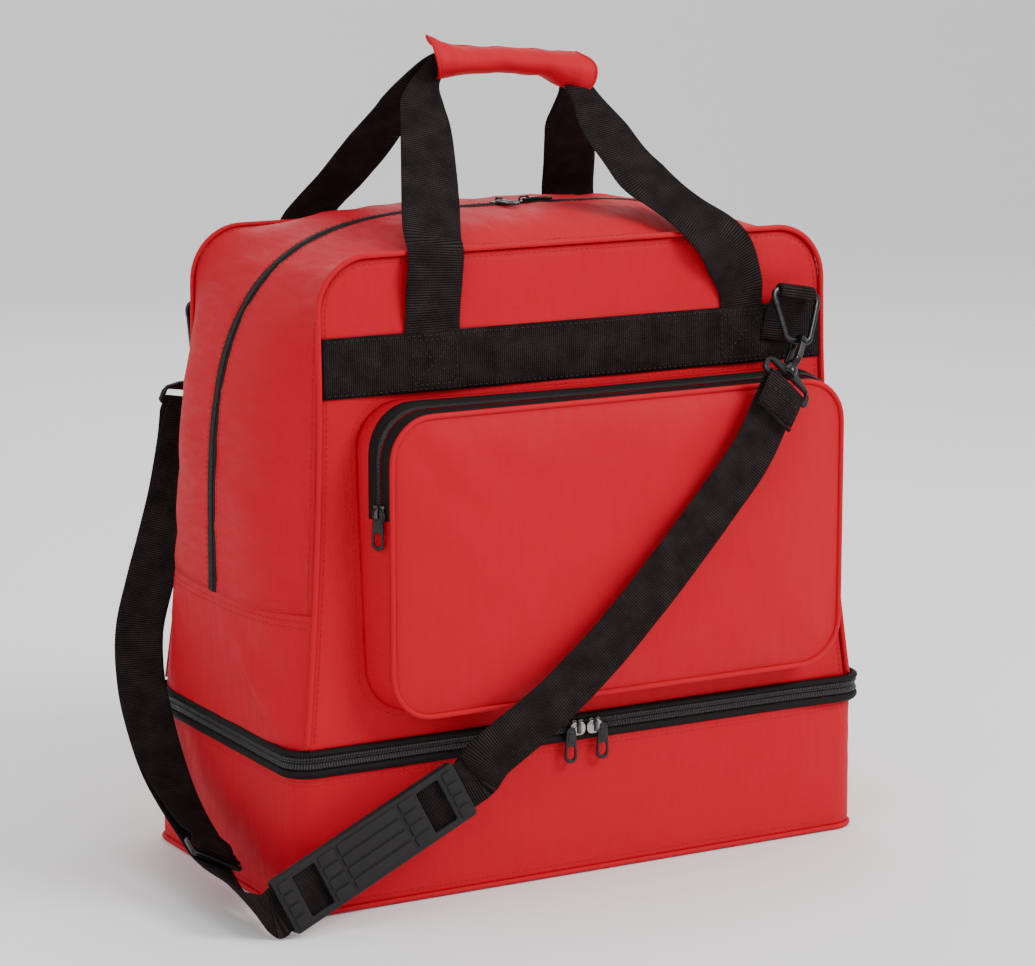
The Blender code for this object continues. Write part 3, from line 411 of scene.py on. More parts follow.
def smooth_line(points, steps):
    """A Catmull-Rom line through points, with steps pieces between neighbours."""
    line = [Vector(point) for point in points]
    ends = [2 * line[0] - line[1], *line, 2 * line[-1] - line[-2]]
    found = []
    for a, b, c, d in zip(ends, ends[1:], ends[2:], ends[3:]):
        for i in range(steps):
            t = i / steps
            linear = (c - a) * t
            square = (2 * a - 5 * b + 4 * c - d) * t**2
            cube = (3 * b - a - 3 * c + d) * t**3
            found.append(0.5 * (2 * b + linear + square + cube))
    return [*found, line[-1]]


def tangents(line, closed=False):
    found = []
    count = len(line)
    for i in range(count):
        before = line[(i - 1) % count] if closed else line[max(i - 1, 0)]
        after = line[(i + 1) % count] if closed else line[min(i + 1, count - 1)]
        found.append((after - before).normalized())
    return found


def tube(name, line, radius, finish, body=None, nodes=(), closed=False, sides=10, squash=1.0):
    """A round cord with a UV map in metres. Its section turns smoothly along the line."""
    ways = tangents(line, closed)
    normal = ways[0].orthogonal().normalized()
    rows = []
    for point, way in zip(line, ways):
        normal = (normal - way * normal.dot(way)).normalized()
        side = way.cross(normal)
        ring = []
        for k in range(sides):
            angle = 2 * math.pi * k / sides
            ring.append(point + normal * math.cos(angle) * radius + side * math.sin(angle) * radius * squash)
        rows.append(ring)
    bm = bmesh.new()
    bm.loops.layers.uv.new("UVMap")
    verts = [[bm.verts.new(point) for point in ring] for ring in rows]
    along = lengths([*line, line[0]] if closed else line)
    around = 2 * math.pi * radius / sides
    rings = [*verts, verts[0]] if closed else verts
    skin(bm, rings, True, not closed, lambda i, j: (along[j], i * around))
    return mesh_piece(bm, name, finish, body, nodes)


def webbing(name, line, sides, widths, thickness, finish, body=None, nodes=(), cup=0.0, wave=0.0):
    """Flat webbing with rolled edges: ribbed faces, a little cupped across and uneven along."""
    rows = []
    spread = [-1.0, -0.97, -0.85, -0.55, -0.2, 0.2, 0.55, 0.85, 0.97, 1.0]
    swell = [0.0, 0.75, 1.0, 1.0, 1.0, 1.0, 1.0, 1.0, 0.75, 0.0]
    for index, (point, way) in enumerate(zip(line, tangents(line))):
        side = sides[index]
        side = (side - way * side.dot(way)).normalized()
        up = way.cross(side).normalized()
        width = widths[index]
        ring = []
        for face in (1, -1):
            order = range(10) if face > 0 else range(9, -1, -1)
            for k in list(order)[(0 if face > 0 else 1) : (10 if face > 0 else 9)]:
                ripple = wave * noise.noise(Vector((point.x * 40, point.z * 40 + k * 0.3, point.y * 40)))
                lift = face * swell[k] * thickness / 2 + cup * spread[k] ** 2 + ripple
                ring.append(point + side * spread[k] * width / 2 + up * lift)
        rows.append(ring)
    bm = bmesh.new()
    bm.loops.layers.uv.new("UVMap")
    verts = [[bm.verts.new(point) for point in ring] for ring in rows]
    along = lengths(line)
    half = STRAP_WIDTH / 2
    skin(bm, verts, True, True, lambda i, j: (along[j], spread[i if i < 10 else 18 - i] * half))
    return mesh_piece(bm, name, finish, body, nodes)


def stitches(name, line, normals, finish, body, length=0.0030, gap=0.0016, radius=0.00038, lift=0.0003):
    """A row of stitches: each one a small raised lozenge of thread."""
    bm = bmesh.new()
    at = lengths(line)
    start = gap / 2
    while start + length < at[-1]:
        ends = []
        for spot in (start, start + length / 2, start + length):
            k = next(i for i, value in enumerate(at) if value >= spot)
            t = (spot - at[k - 1]) / max(at[k] - at[k - 1], 1e-9)
            point = line[k - 1].lerp(line[k], t)
            up = normals[k - 1].lerp(normals[k], t).normalized()
            ends.append((point, up))
        way = (ends[2][0] - ends[0][0]).normalized()
        rings = []
        for (point, up), size in zip(ends, (0.35, 1.0, 0.35)):
            side = way.cross(up).normalized()
            centre = point + up * (lift * (1.0 if size == 1.0 else 0.2))
            corners = ((1, 0), (0, 1), (-1, 0), (0, -1))
            rings.append([bm.verts.new(centre + (side * a + up * b) * radius * size) for a, b in corners])
        skin(bm, rings, True, True)
        start += length + gap
    return mesh_piece(bm, name, finish, body)


def plate(name, outlines, thickness, at, finish, body=None, nodes=(), edge=0.0005):
    """A flat moulding with rounded edges, cut to its first outline, with holes along the others."""
    curve = bpy.data.curves.new(name, "CURVE")
    curve.dimensions = "2D"
    curve.fill_mode = "BOTH"
    curve.extrude = max(thickness / 2 - edge, 0.0001)
    curve.bevel_depth = edge
    curve.bevel_resolution = 2
    curve.offset = -edge
    for outline in outlines:
        spline = curve.splines.new("POLY")
        spline.points.add(len(outline) - 1)
        for target, (x, y) in zip(spline.points, outline):
            target.co = (x, y, 0, 1)
        spline.use_cyclic_u = True
    curve.materials.append(finish)
    holder = bpy.data.objects.new(name + "_outline", curve)
    bpy.context.scene.collection.objects.link(holder)
    bpy.context.view_layer.update()
    graph = bpy.context.evaluated_depsgraph_get()
    mesh = bpy.data.meshes.new_from_object(holder.evaluated_get(graph))
    bpy.data.objects.remove(holder)
    mesh.transform(at)
    mesh.name = name
    bm = bmesh.new()
    bm.from_mesh(mesh)
    bmesh.ops.remove_doubles(bm, verts=bm.verts, dist=1e-6)
    bmesh.ops.recalc_face_normals(bm, faces=bm.faces)
    bm.to_mesh(mesh)
    bm.free()
    mesh.shade_smooth()
    mesh.set_sharp_from_angle(angle=SHARP_ANGLE)
    return place(bpy.data.objects.new(name, mesh), body, nodes)


def turned(name, profile, at, finish, body=None, nodes=(), sides=24):
    """A round piece turned about its Z axis from (radius, height) points, closed at both ends."""
    bm = bmesh.new()
    rings = []
    for radius, height in profile:
        circle = [2 * math.pi * k / sides for k in range(sides)]
        spots = [Vector((radius * math.cos(angle), radius * math.sin(angle), height)) for angle in circle]
        rings.append([bm.verts.new(at @ spot) for spot in spots])
    skin(bm, rings, True, True)
    return mesh_piece(bm, name, finish, body, nodes)


def frame_at(origin, z_axis, x_axis):
    """A placement whose Z is z_axis and whose X is as near to x_axis as it can be."""
    z = Vector(z_axis).normalized()
    x = Vector(x_axis)
    x = (x - z * x.dot(z)).normalized()
    y = z.cross(x)
    return Matrix.Translation(origin) @ Matrix((x, y, z)).transposed().to_4x4()


def rounded_rectangle(half_width, half_height, corner, steps=6, centre=(0, 0)):
    """Points round a rectangle with round corners, anticlockwise from its lower right corner."""
    found = []
    for side, end, start in ((1, -1, -90), (1, 1, 0), (-1, 1, 90), (-1, -1, 180)):
        for i in range(steps + 1):
            angle = math.radians(start + 90 * i / steps)
            x = side * (half_width - corner) + corner * math.cos(angle)
            y = end * (half_height - corner) + corner * math.sin(angle)
            found.append((x + centre[0], y + centre[1]))
    return found


def arc(centre, radii, start, step, count):
    """Points along an ellipse's edge, from an angle in degrees on."""
    angles = [math.radians(start + step * i) for i in range(count)]
    return [(centre[0] + radii[0] * math.cos(a), centre[1] + radii[1] * math.sin(a)) for a in angles]


def even_line(points, step, closed=False):
    """The polyline through points, cut into pieces of about that length."""
    line = [Vector(point) for point in points]
    if closed:
        line.append(line[0])
    at = lengths(line)
    count = max(round(at[-1] / step), 2)
    found = []
    k = 1
    for i in range(count if closed else count + 1):
        spot = at[-1] * i / count
        while k < len(at) - 1 and at[k] < spot:
            k += 1
        t = (spot - at[k - 1]) / max(at[k] - at[k - 1], 1e-9)
        found.append(line[k - 1].lerp(line[k], t))
    return found


def share(value, low, high):
    return min(max((value - low) / (high - low), 0.0), 1.0)


def ease(value, low, high):
    t = share(value, low, high)
    return t * t * (3 - 2 * t)


def bell(value, centre, spread):
    return math.exp(-(((value - centre) / spread) ** 2))


def rumple(point, size, seed=0.0):
    """Soft unevenness in about plus and minus 1, of that size in metres."""
    spot = Vector(point) / size + Vector((seed, seed * 1.7, seed * 0.3))
    return noise.noise(spot) + 0.4 * noise.noise(spot * 2.1)


# ---------------------------------------------------------------- the bag's surfaces


def piping_half_width(z):
    return 0.2185 + 0.0215 * share(z, 0.40, 0.12) ** 1.6


def piping_depth(z):
    return 0.108 + 0.018 * share(z, 0.49, 0.12) ** 1.5


def front_depth(x, z):
    over = 1 - min(abs(x) / piping_half_width(z), 1) ** 2
    up = math.sin(math.pi * share(z, 0.12, 0.49))
    return piping_depth(z) + 0.0006 + 0.004 * over * up


def side_point(side, z, ratio):
    power = 9 - 5 * share(z, 0.12, ARCH_FOOT)
    middle = 0.2520 + (MIDDLE_HALF_WIDTH - 0.2520) * share(z, 0.12, ARCH_FOOT)
    edge = piping_half_width(z)
    x = edge + (middle - edge) * (1 - abs(ratio) ** power)
    return Vector((side * x, ratio * piping_depth(z), z))


def panel_reach(angle, inset=0.0):
    across, up = math.cos(angle), math.sin(angle)
    width = PANEL_HALF_WIDTH - inset
    height = ARCH_HEIGHT - inset
    corner = ARCH_CORNER - inset
    reach = min(width / max(abs(across), 1e-9), height / max(up, 1e-9))
    dx, dz = width - corner, height - corner
    if reach * abs(across) > dx and reach * up > dz:
        toward = abs(across) * dx + up * dz
        reach = toward + math.sqrt(toward**2 - dx**2 - dz**2 + corner**2)
    z = ARCH_FOOT + reach * up
    x = reach * across * (piping_half_width(z) - inset) / width
    return x, z


def arch_point(angle, ratio):
    x, z = panel_reach(angle)
    across, up = math.cos(angle), math.sin(angle)
    wide = abs(across / MIDDLE_HALF_WIDTH) ** MIDDLE_POWER
    high = abs(up / MIDDLE_HEIGHT) ** MIDDLE_POWER
    reach = (wide + high) ** (-1 / MIDDLE_POWER)
    fullness = 1 - abs(ratio) ** 4
    x += (reach * across - x) * fullness
    depth = piping_depth(z)
    z += (ARCH_FOOT + reach * up - z) * fullness
    return Vector((x, ratio * depth, z))


def arch_angles(flat, corner, crown):
    low = math.atan2(ARCH_HEIGHT - ARCH_CORNER, PANEL_HALF_WIDTH)
    high = math.atan2(ARCH_HEIGHT, PANEL_HALF_WIDTH - ARCH_CORNER)
    stops = ((0.0, low, flat), (low, high, corner), (high, math.pi / 2, crown))
    right = [a + (b - a) * i / steps for a, b, steps in stops for i in range(steps)]
    return [*right, math.pi / 2, *[math.pi - angle for angle in reversed(right)]]


def base_outline(inset=0.0, steps=8):
    return rounded_rectangle(BASE_WIDTH / 2 - inset, BASE_DEPTH / 2 - inset, BASE_CORNER - inset, steps)


def blended(obj, nodes=()):
    """Bakes the piece's placement into its mesh and hides the CAD nodes it stands for."""
    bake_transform(obj)
    if nodes:
        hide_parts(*nodes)
    return obj


def opening(obj, nodes=()):
    """The bag's mouth: baked in place, with its CAD nodes hidden."""
    return blended(obj, nodes)


def mouth_half(obj, end, nodes=()):
    """The mouth's front half is baked in place; its back half rides on the upper bag."""
    return opening(obj, nodes) if end < 0 else place(obj, "upper_bag", nodes)


# ---------------------------------------------------------------- boot box


def boot_skin_point(x, y, outward, z):
    """The boot box's fabric: nearly flat walls, fuller in the middle and a little rumpled."""
    full = math.sin(math.pi * share(z, 0.0, 0.112))
    flat_front = share(BASE_WIDTH / 2 - abs(x), 0.0, 0.06) if abs(y) > 0.1 else 1.0
    flat_side = share(BASE_DEPTH / 2 - abs(y), 0.0, 0.05) if abs(x) > 0.22 else 1.0
    swell = 0.0016 * full * flat_front * flat_side
    ripple = 0.0016 * full * rumple((x, y, z * 1.6), 0.075, 3.0)
    sag = 0.0007 * full * noise.noise(Vector((x * 22, y * 22, z * 60)))
    return Vector((x, y, z)) + outward * (swell + ripple + sag - 0.0002)


def outline_normals(outline):
    """The outward normal at each point of a closed anticlockwise outline."""
    found = []
    count = len(outline)
    for i in range(count):
        a, b = Vector((*outline[i - 1], 0)), Vector((*outline[(i + 1) % count], 0))
        way = (b - a).normalized()
        found.append(Vector((way.y, -way.x, 0)))
    return found


def boot_box():
    line = even_line([(x, y, 0) for x, y in base_outline(0.0, 8)], 0.007, closed=True)
    normals = outline_normals([(p.x, p.y) for p in line])
    heights = [0.0035, 0.006, 0.010, *[0.015 + 0.0058 * i for i in range(17)], 0.1115, 0.1150]
    rows = []
    for z in heights:
        rows.append([boot_skin_point(p.x, p.y, n, z) for p, n in zip(line, normals)])
    walls = ("boot_front_panel", "boot_back_panel", "boot_side_panel_left", "boot_side_panel_right")
    sheet("boot_fabric", rows, FABRIC, 0.0024, (0, 0, 0.06), "boot_box", walls, closed=True)
    foot = even_line([(x, y, 0.0024) for x, y in base_outline(-0.0003, 8)], 0.006, closed=True)
    tube("base_cord", foot, BASE_CORD_RADIUS, PIPING, "boot_box", ("base_piping",), closed=True)
    for name, z in (("base_stitches", 0.0088), ("zip_stitches_low", 0.1005), ("zip_stitches_high", 0.1035)):
        run = [boot_skin_point(p.x, p.y, n, z) for p, n in zip(line, normals)]
        if "zip" in name:
            keep = [i for i, p in enumerate(line) if p.y < 0.118]
            first = next(i for i in keep if i - 1 not in keep and line[i].x < 0)
            order = [(first + i) % len(line) for i in range(len(keep))]
            run, ways = [run[i] for i in order], [normals[i] for i in order]
        else:
            run, ways = [*run, run[0]], [*normals, normals[0]]
        stitches(name, run, ways, RED_THREAD, "boot_box", radius=0.00032)


# ---------------------------------------------------------------- zips


def boot_track(step=0.005):
    """The line of the boot zip, from the back left corner round the front to the back right one."""
    outline = base_outline(0.0, 8)
    quarter = len(outline) // 4
    right = outline[: 2 * quarter]
    left = [(-x, y) for x, y in reversed(right)]
    line = even_line([(x, y, 0) for x, y in [*left, *right]], step)
    normals = [Vector((way.y, -way.x, 0)) for way in tangents(line)]
    return line, normals


def boot_zip():
    """Two rounded bands of tape with the coil recessed between them."""
    line, normals = boot_track()
    bulges = {
        "lower": list(zip(
            (-0.0010, 0.0008, 0.0022, 0.0030, 0.0029, 0.0020, 0.0008),
            (0.0122, 0.0117, 0.0104, 0.0086, 0.0070, 0.0058, 0.0050),
        )),
        "upper": list(zip(
            (-0.0010, 0.0010, 0.0026, 0.0032, 0.0028, 0.0016, 0.0008),
            (0.0096, 0.0092, 0.0082, 0.0069, 0.0058, 0.0051, 0.0047),
        )),
    }
    coil = [(0.0006, 0.0051), (0.0013, 0.0049), (0.0022, 0.0040), (0.0023, 0.0029), (0.0014, 0.0019)]
    coil += [(0.0010, 0.0011), (0.0013, 0.0006), (0.0008, 0.0001)]
    for word, up, body in (("lower", -1, "boot_box"), ("upper", 1, "upper_bag")):
        for kind, profile, finish, nodes in (
            ("tape", bulges[word], TAPE, ("boot_zip_tape_" + word,)),
            ("coil", coil, WIDE_COIL, ()),
        ):
            rows = []
            for out, rise in profile:
                row = []
                for point, normal in zip(line, normals):
                    push = out + 0.0004 * noise.noise(point * 35 + Vector((0, 0, up)))
                    push += 0.0030 * bell(point.x, 0.252, 0.05) * share(-point.y, -0.05, 0.10)
                    row.append(point + normal * push + Vector((0, 0, HINGE_Z + up * rise)))
                rows.append(row)
            skin = 0.0011 if kind == "tape" else 0.0005
            sheet(f"boot_zip_{kind}_{word}", rows, finish, skin, (0, 0, HINGE_Z), body, nodes)


def main_zip():
    angles = arch_angles(22, 20, 14)
    for word, end, _ in ENDS:
        for kind, ratios, finish in (
            ("tape", (0.058, 0.048, 0.036, 0.026, 0.0185), TAPE),
            ("coil", (0.0190, 0.0155, 0.0100, 0.0050, 0.0004), COIL),
        ):
            rows = []
            for index, ratio in enumerate(ratios):
                row = []
                for angle in angles:
                    point = arch_point(angle, end * ratio)
                    away = (point - Vector((0, point.y, ARCH_FOOT + 0.02))).normalized()
                    lift = 0.0002 if kind == "tape" else 0.0003 + 0.0008 * math.sin(math.pi * index / 4)
                    row.append(point + away * lift)
                rows.append(row)
            thickness = 0.0009 if kind == "tape" else 0.0005
            obj = thicken(grid_mesh(f"main_zip_{kind}_{word}", rows, finish), thickness, (0, 0, ARCH_FOOT))
            mouth_half(obj, end, ("main_zip_tape_" + word,) if kind == "tape" else ())


# ---------------------------------------------------------------- main compartment


def panel_skin_point(end, x, z, lift=0.0):
    """A panel's outer face with the soft folds of the fabric."""
    half = piping_half_width(z)
    edge = share(half - abs(x), 0.002, 0.035) * share(z, 0.12, 0.15) * share(0.4875 - z, 0.0, 0.03)
    fold = 0.0013 * rumple((x, end * 0.3, z * 1.2), 0.11, 1.0 + end)
    fold += 0.0010 * math.sin(x * 62 + 3 * noise.noise(Vector((x * 9, z * 9, end)))) * bell(z, 0.462, 0.022)
    fold += 0.0008 * noise.noise(Vector((x * 16, end * 5, z * 46)))
    return Vector((x, end * (front_depth(x, z) + lift + fold * edge), z))


def panel_rows(end, columns, rows):
    grid = []
    for j in range(rows + 1):
        row = []
        for i in range(columns + 1):
            share_x = math.sin(math.pi / 2 * (2 * i / columns - 1))
            over = abs(share_x) * (PANEL_HALF_WIDTH - 0.0015)
            corner = ARCH_CORNER - 0.0015
            past = max(over - (PANEL_HALF_WIDTH - ARCH_CORNER), 0.0)
            top = ARCH_FOOT + ARCH_HEIGHT - ARCH_CORNER + math.sqrt(max(corner**2 - past**2, 0.0))
            z = 0.1225 + (top - 0.1225) * j / rows
            x = share_x * (piping_half_width(z) - 0.0015)
            row.append(panel_skin_point(end, x, z))
        grid.append(row)
    return grid


def gusset_point(angle, ratio):
    """The arch's fabric, with pull creases that run from the piping to the zip."""
    point = arch_point(angle, ratio)
    away = Vector((point.x, 0, max(point.z - 0.33, 0) if point.z > 0.40 else 0)).normalized()
    free = math.sin(math.pi * min(abs(ratio), 1.0)) ** 0.7
    across = angle * 9.0
    crease = noise.noise(Vector((across * 1.6, ratio * 1.2, 4.0)))
    fine = noise.noise(Vector((across * 5.0, ratio * 2.4, 9.0)))
    return point + away * free * (0.0030 * crease + 0.0013 * fine)


def side_skin_point(side, z, ratio):
    point = side_point(side, z, ratio)
    free = share(1 - abs(ratio), 0.0, 0.2) * math.sin(math.pi * share(z, 0.118, 0.2265))
    fold = 0.0032 * noise.noise(Vector((side * 3, ratio * 2.6, z * 22 + ratio * 2.2)))
    fold += 0.0014 * noise.noise(Vector((side * 5, ratio * 7, z * 55)))
    back = (ratio + 1) / 2
    for start, climb, height in ((0.128, 0.19, 0.0034), (0.112, 0.26, 0.0026), (0.150, 0.12, 0.0018)):
        fold += height * bell(z, start + climb * back, 0.0085 + 0.010 * back) * share(back, 0.62, 0.20)
    fold += 0.0075 * bell(z, 0.138, 0.020) * share(side, 0, 1) * share(back, 0.9, 0.4)
    return point + Vector((side * free * fold, 0, 0))


def main_compartment():
    angles = arch_angles(20, 18, 14)
    for word, end, body in ENDS:
        panel = panel_rows(end, 56, 44)
        sheet(word + "_panel_fabric", panel, FABRIC, CLOTH, (0, 0, 0.3), body, (word + "_panel",))
        ratios = [0.994, 0.975, 0.945, 0.90, 0.84, 0.76, 0.67, 0.57]
        ratios += [0.47, 0.37, 0.27, 0.18, 0.11, 0.07, 0.050]
        rows = [[gusset_point(angle, end * ratio) for angle in angles] for ratio in ratios]
        obj = thicken(grid_mesh("gusset_fabric_" + word, rows, FABRIC), CLOTH, (0, 0, ARCH_FOOT))
        mouth_half(obj, end, ("gusset_" + word,))
        for name, ratio in (("a", 0.080), ("b", 0.960)):
            line = [gusset_point(angle, end * ratio) for angle in arch_angles(60, 50, 50)]
            middle = Vector((0, 0, ARCH_FOOT + 0.03))
            ways = [(p - Vector((0, p.y, middle.z))).normalized() for p in line]
            run = stitches(f"gusset_stitches_{word}_{name}", line, ways, RED_THREAD, None)
            mouth_half(run, end)
    for word, side in (("left", -1), ("right", 1)):
        ratios = [-0.996, -0.985, -0.96, -0.93, -0.88, -0.82, *[-0.75 + 0.075 * i for i in range(21)]]
        ratios += [0.82, 0.88, 0.93, 0.96, 0.985, 0.996]
        heights = [0.1215, *[0.1245 + 0.0072 * i for i in range(14)], ARCH_FOOT, ARCH_FOOT + 0.001]
        rows = [[side_skin_point(side, z, ratio) for ratio in ratios] for z in heights]
        obj = thicken(grid_mesh("side_fabric_" + word, rows, FABRIC), CLOTH, (0, 0, 0.17))
        opening(obj, ("side_panel_" + word,))
        for row in (1, 2):
            seam = [side_skin_point(side, ARCH_FOOT - 0.0045 * row, -0.97 + 1.94 * i / 60) for i in range(61)]
            run = stitches(f"seam_stitches_{word}_{row}", seam, [Vector((side, 0, 0))] * 61, RED_THREAD, None)
            opening(run)
    panel_pipings()


def panel_pipings():
    edge, out = 0.0012, 0.0016
    for word, end, body in ENDS:
        heights = [0.1290 + 0.005 * i for i in range(20)]
        up = [(piping_half_width(z) + edge, end * (piping_depth(z) + out), z) for z in heights]
        over = []
        for angle in arch_angles(22, 20, 16):
            x, z = panel_reach(angle, -edge)
            over.append((x, end * (piping_depth(z) + out), z))
        up = [p for p in up if p[2] < over[0][2] - 0.002]
        down = [(-x, y, z) for x, y, z in reversed(up)]
        line = even_line([*up, *over, *down], 0.006)
        tube(word + "_cord", line, CORD_RADIUS, PIPING, body, (word + "_piping",))
        inner = []
        for p in even_line(line, 0.004):
            dx = math.copysign(0.0062, p.x) * share(0.492 - p.z, 0.0, 0.03)
            dz = 0.0062 * share(p.z, 0.44, 0.487)
            inner.append(panel_skin_point(end, p.x - dx, p.z - dz, 0.0))
        ways = [Vector((0, end, 0))] * len(inner)
        stitches(word + "_cord_stitches", inner, ways, RED_THREAD, body)


def band_depth(end, x, z):
    """The band's outer face: it runs over the handles' sewn ends."""
    over = max(bell(x, foot, 0.027) for foot in HANDLE_FEET[end])
    return front_depth(x, z) + 0.0024 + 0.0016 * over


def bands():
    for word, end, body in ENDS:
        rows = []
        heights = [BAND_LOW + (BAND_HIGH - BAND_LOW) * i / 10 for i in range(11)]
        for j, z in enumerate(heights):
            reach = piping_half_width(z) - 0.0016
            columns = [reach * (i / 44 - 1) for i in range(89)]
            rim = -0.0012 if j in (0, 10) else 0.0
            row = []
            for x in columns:
                ripple = 0.0005 * rumple((x, end, z), 0.05, 6.0)
                row.append((x, end * (band_depth(end, x, z) + rim + ripple), z))
            rows.append([Vector(p) for p in row])
        sheet(word + "_band_webbing", rows, BAND_WEBBING, 0.0018, (0, 0, 0.40), body, (word + "_band",))
        for name, z in (("low", BAND_LOW + 0.0028), ("high", BAND_HIGH - 0.0028)):
            reach = piping_half_width(z) - 0.004
            line = [Vector((x * reach, end * band_depth(end, x * reach, z), z)) for x in
                    [i / 40 - 1 for i in range(81)]]
            ways = [Vector((0, end, 0))] * len(line)
            stitches(f"{word}_band_stitches_{name}", line, ways, BLACK_THREAD, body)
        for index, foot in enumerate(HANDLE_FEET[end]):
            box_stitches(f"{word}_handle_box_{index}", end, foot, body)


def box_stitches(name, end, foot, body):
    """A square of stitches with a cross in it, through the band and the handle's end."""
    half_x, low, high = 0.0185, BAND_LOW + 0.006, BAND_HIGH - 0.006
    corners = [(-half_x, low), (half_x, low), (half_x, high), (-half_x, high)]
    runs = [*zip(corners, [*corners[1:], corners[0]]), (corners[0], corners[2]), (corners[1], corners[3])]
    for index, ((x0, z0), (x1, z1)) in enumerate(runs):
        line = []
        for i in range(13):
            x, z = foot + x0 + (x1 - x0) * i / 12, z0 + (z1 - z0) * i / 12
            line.append(Vector((x, end * (band_depth(end, x, z) + 0.0002), z)))
        ways = [Vector((0, end, 0))] * len(line)
        stitches(f"{name}_{index}", line, ways, BLACK_THREAD, body)


# ---------------------------------------------------------------- handles and grip


def sewn_edge(end, x, z):
    return (x, end * (front_depth(x, z) + 0.0012), z)


def front_legs():
    """Pairs of edge points of the front handle, from the left leg's foot over to the right one's."""
    left = [
        (sewn_edge(-1, -0.1495, 0.398), sewn_edge(-1, -0.1036, 0.398)),
        (sewn_edge(-1, -0.1495, 0.428), sewn_edge(-1, -0.1036, 0.428)),
        ((-0.1495, -0.1140, 0.447), (-0.1036, -0.1140, 0.447)),
        ((-0.1493, -0.1152, 0.464), (-0.1027, -0.1152, 0.463)),
        ((-0.1483, -0.1160, 0.480), (-0.1018, -0.1160, 0.479)),
        ((-0.1472, -0.1128, 0.492), (-0.1005, -0.1130, 0.491)),
        ((-0.1455, -0.1034, 0.505), (-0.0992, -0.1055, 0.502)),
        ((-0.1315, -0.0754, 0.533), (-0.0860, -0.0775, 0.531)),
        ((-0.1130, -0.0388, 0.572), (-0.0713, -0.0405, 0.570)),
        ((-0.1032, -0.0239, 0.587), (-0.0679, -0.0205, 0.591)),
        ((-0.0850, -0.0064, 0.606), (-0.0640, -0.0089, 0.603)),
        ((-0.0640, -0.0010, 0.6250), (-0.0560, -0.0060, 0.6100)),
        ((-0.0400, -0.0020, 0.6240), (-0.0380, -0.0050, 0.6120)),
    ]
    right = [
        ((0.0380, -0.0050, 0.6080), (0.0400, -0.0020, 0.6180)),
        ((0.0480, -0.0090, 0.5980), (0.0600, -0.0050, 0.6080)),
        ((0.0434, -0.0210, 0.590), (0.0648, -0.0125, 0.599)),
        ((0.0434, -0.0313, 0.580), (0.0700, -0.0200, 0.589)),
        ((0.0436, -0.0540, 0.556), (0.0767, -0.0360, 0.575)),
        ((0.0476, -0.0700, 0.539), (0.0861, -0.0555, 0.554)),
        ((0.0547, -0.0882, 0.520), (0.0940, -0.0670, 0.5415)),
        ((0.0668, -0.0977, 0.510), (0.1037, -0.0814, 0.527)),
        ((0.0835, -0.1098, 0.497), (0.1249, -0.1060, 0.501)),
        ((0.1029, -0.1155, 0.482), (0.1486, -0.1150, 0.473)),
        ((0.1214, -0.1145, 0.457), (0.1595, -0.1140, 0.4436)),
        (sewn_edge(-1, 0.1247, 0.4325), sewn_edge(-1, 0.1630, 0.4285)),
        (sewn_edge(-1, 0.1240, 0.398), sewn_edge(-1, 0.1640, 0.398)),
    ]
    return [*left, *right]


def back_legs():
    left = [
        (sewn_edge(1, -0.1530, 0.398), sewn_edge(1, -0.1070, 0.398)),
        (sewn_edge(1, -0.1530, 0.428), sewn_edge(1, -0.1070, 0.428)),
        ((-0.1500, 0.1135, 0.455), (-0.1040, 0.1135, 0.455)),
        ((-0.1402, 0.1125, 0.490), (-0.0960, 0.1120, 0.492)),
        ((-0.1223, 0.0767, 0.532), (-0.0789, 0.0872, 0.521)),
        ((-0.1084, 0.0454, 0.565), (-0.0722, 0.0655, 0.544)),
        ((-0.0924, 0.0199, 0.592), (-0.0712, 0.0415, 0.569)),
        ((-0.0880, 0.0046, 0.608), (-0.0690, 0.0207, 0.591)),
        ((-0.0640, 0.0030, 0.6240), (-0.0560, 0.0080, 0.6110)),
        ((-0.0400, 0.0040, 0.6240), (-0.0380, 0.0070, 0.6120)),
    ]
    right = [
        ((0.0380, 0.0070, 0.6070), (0.0400, 0.0050, 0.6180)),
        ((0.0500, 0.0110, 0.5990), (0.0620, 0.0080, 0.6080)),
        ((0.0593, 0.0220, 0.589), (0.0804, 0.0319, 0.579)),
        ((0.0588, 0.0421, 0.568), (0.0900, 0.0430, 0.567)),
        ((0.0642, 0.0532, 0.5565), (0.1016, 0.0549, 0.555)),
        ((0.0760, 0.0760, 0.5325), (0.1207, 0.0750, 0.534)),
        ((0.0928, 0.1074, 0.4995), (0.1391, 0.1074, 0.4995)),
        ((0.1030, 0.1135, 0.472), (0.1480, 0.1135, 0.471)),
        (sewn_edge(1, 0.1050, 0.428), sewn_edge(1, 0.1510, 0.428)),
        (sewn_edge(1, 0.1050, 0.398), sewn_edge(1, 0.1510, 0.398)),
    ]
    return [*left, *right]


def handles():
    for (word, end, body), pairs in zip(ENDS, (front_legs(), back_legs())):
        first = smooth_line([a for a, _ in pairs], 6)
        second = smooth_line([b for _, b in pairs], 6)
        line = [(a + b) / 2 for a, b in zip(first, second)]
        sides = [b - a for a, b in zip(first, second)]
        widths = [side.length for side in sides]
        name = word + "_handle_webbing"
        obj = webbing(name, line, sides, widths, HANDLE_THICKNESS, WEBBING, cup=0.0008, wave=0.0005)
        nodes = [word + "_handle", word + "_handle_end_left", word + "_handle_end_right"]
        blended(obj, nodes)


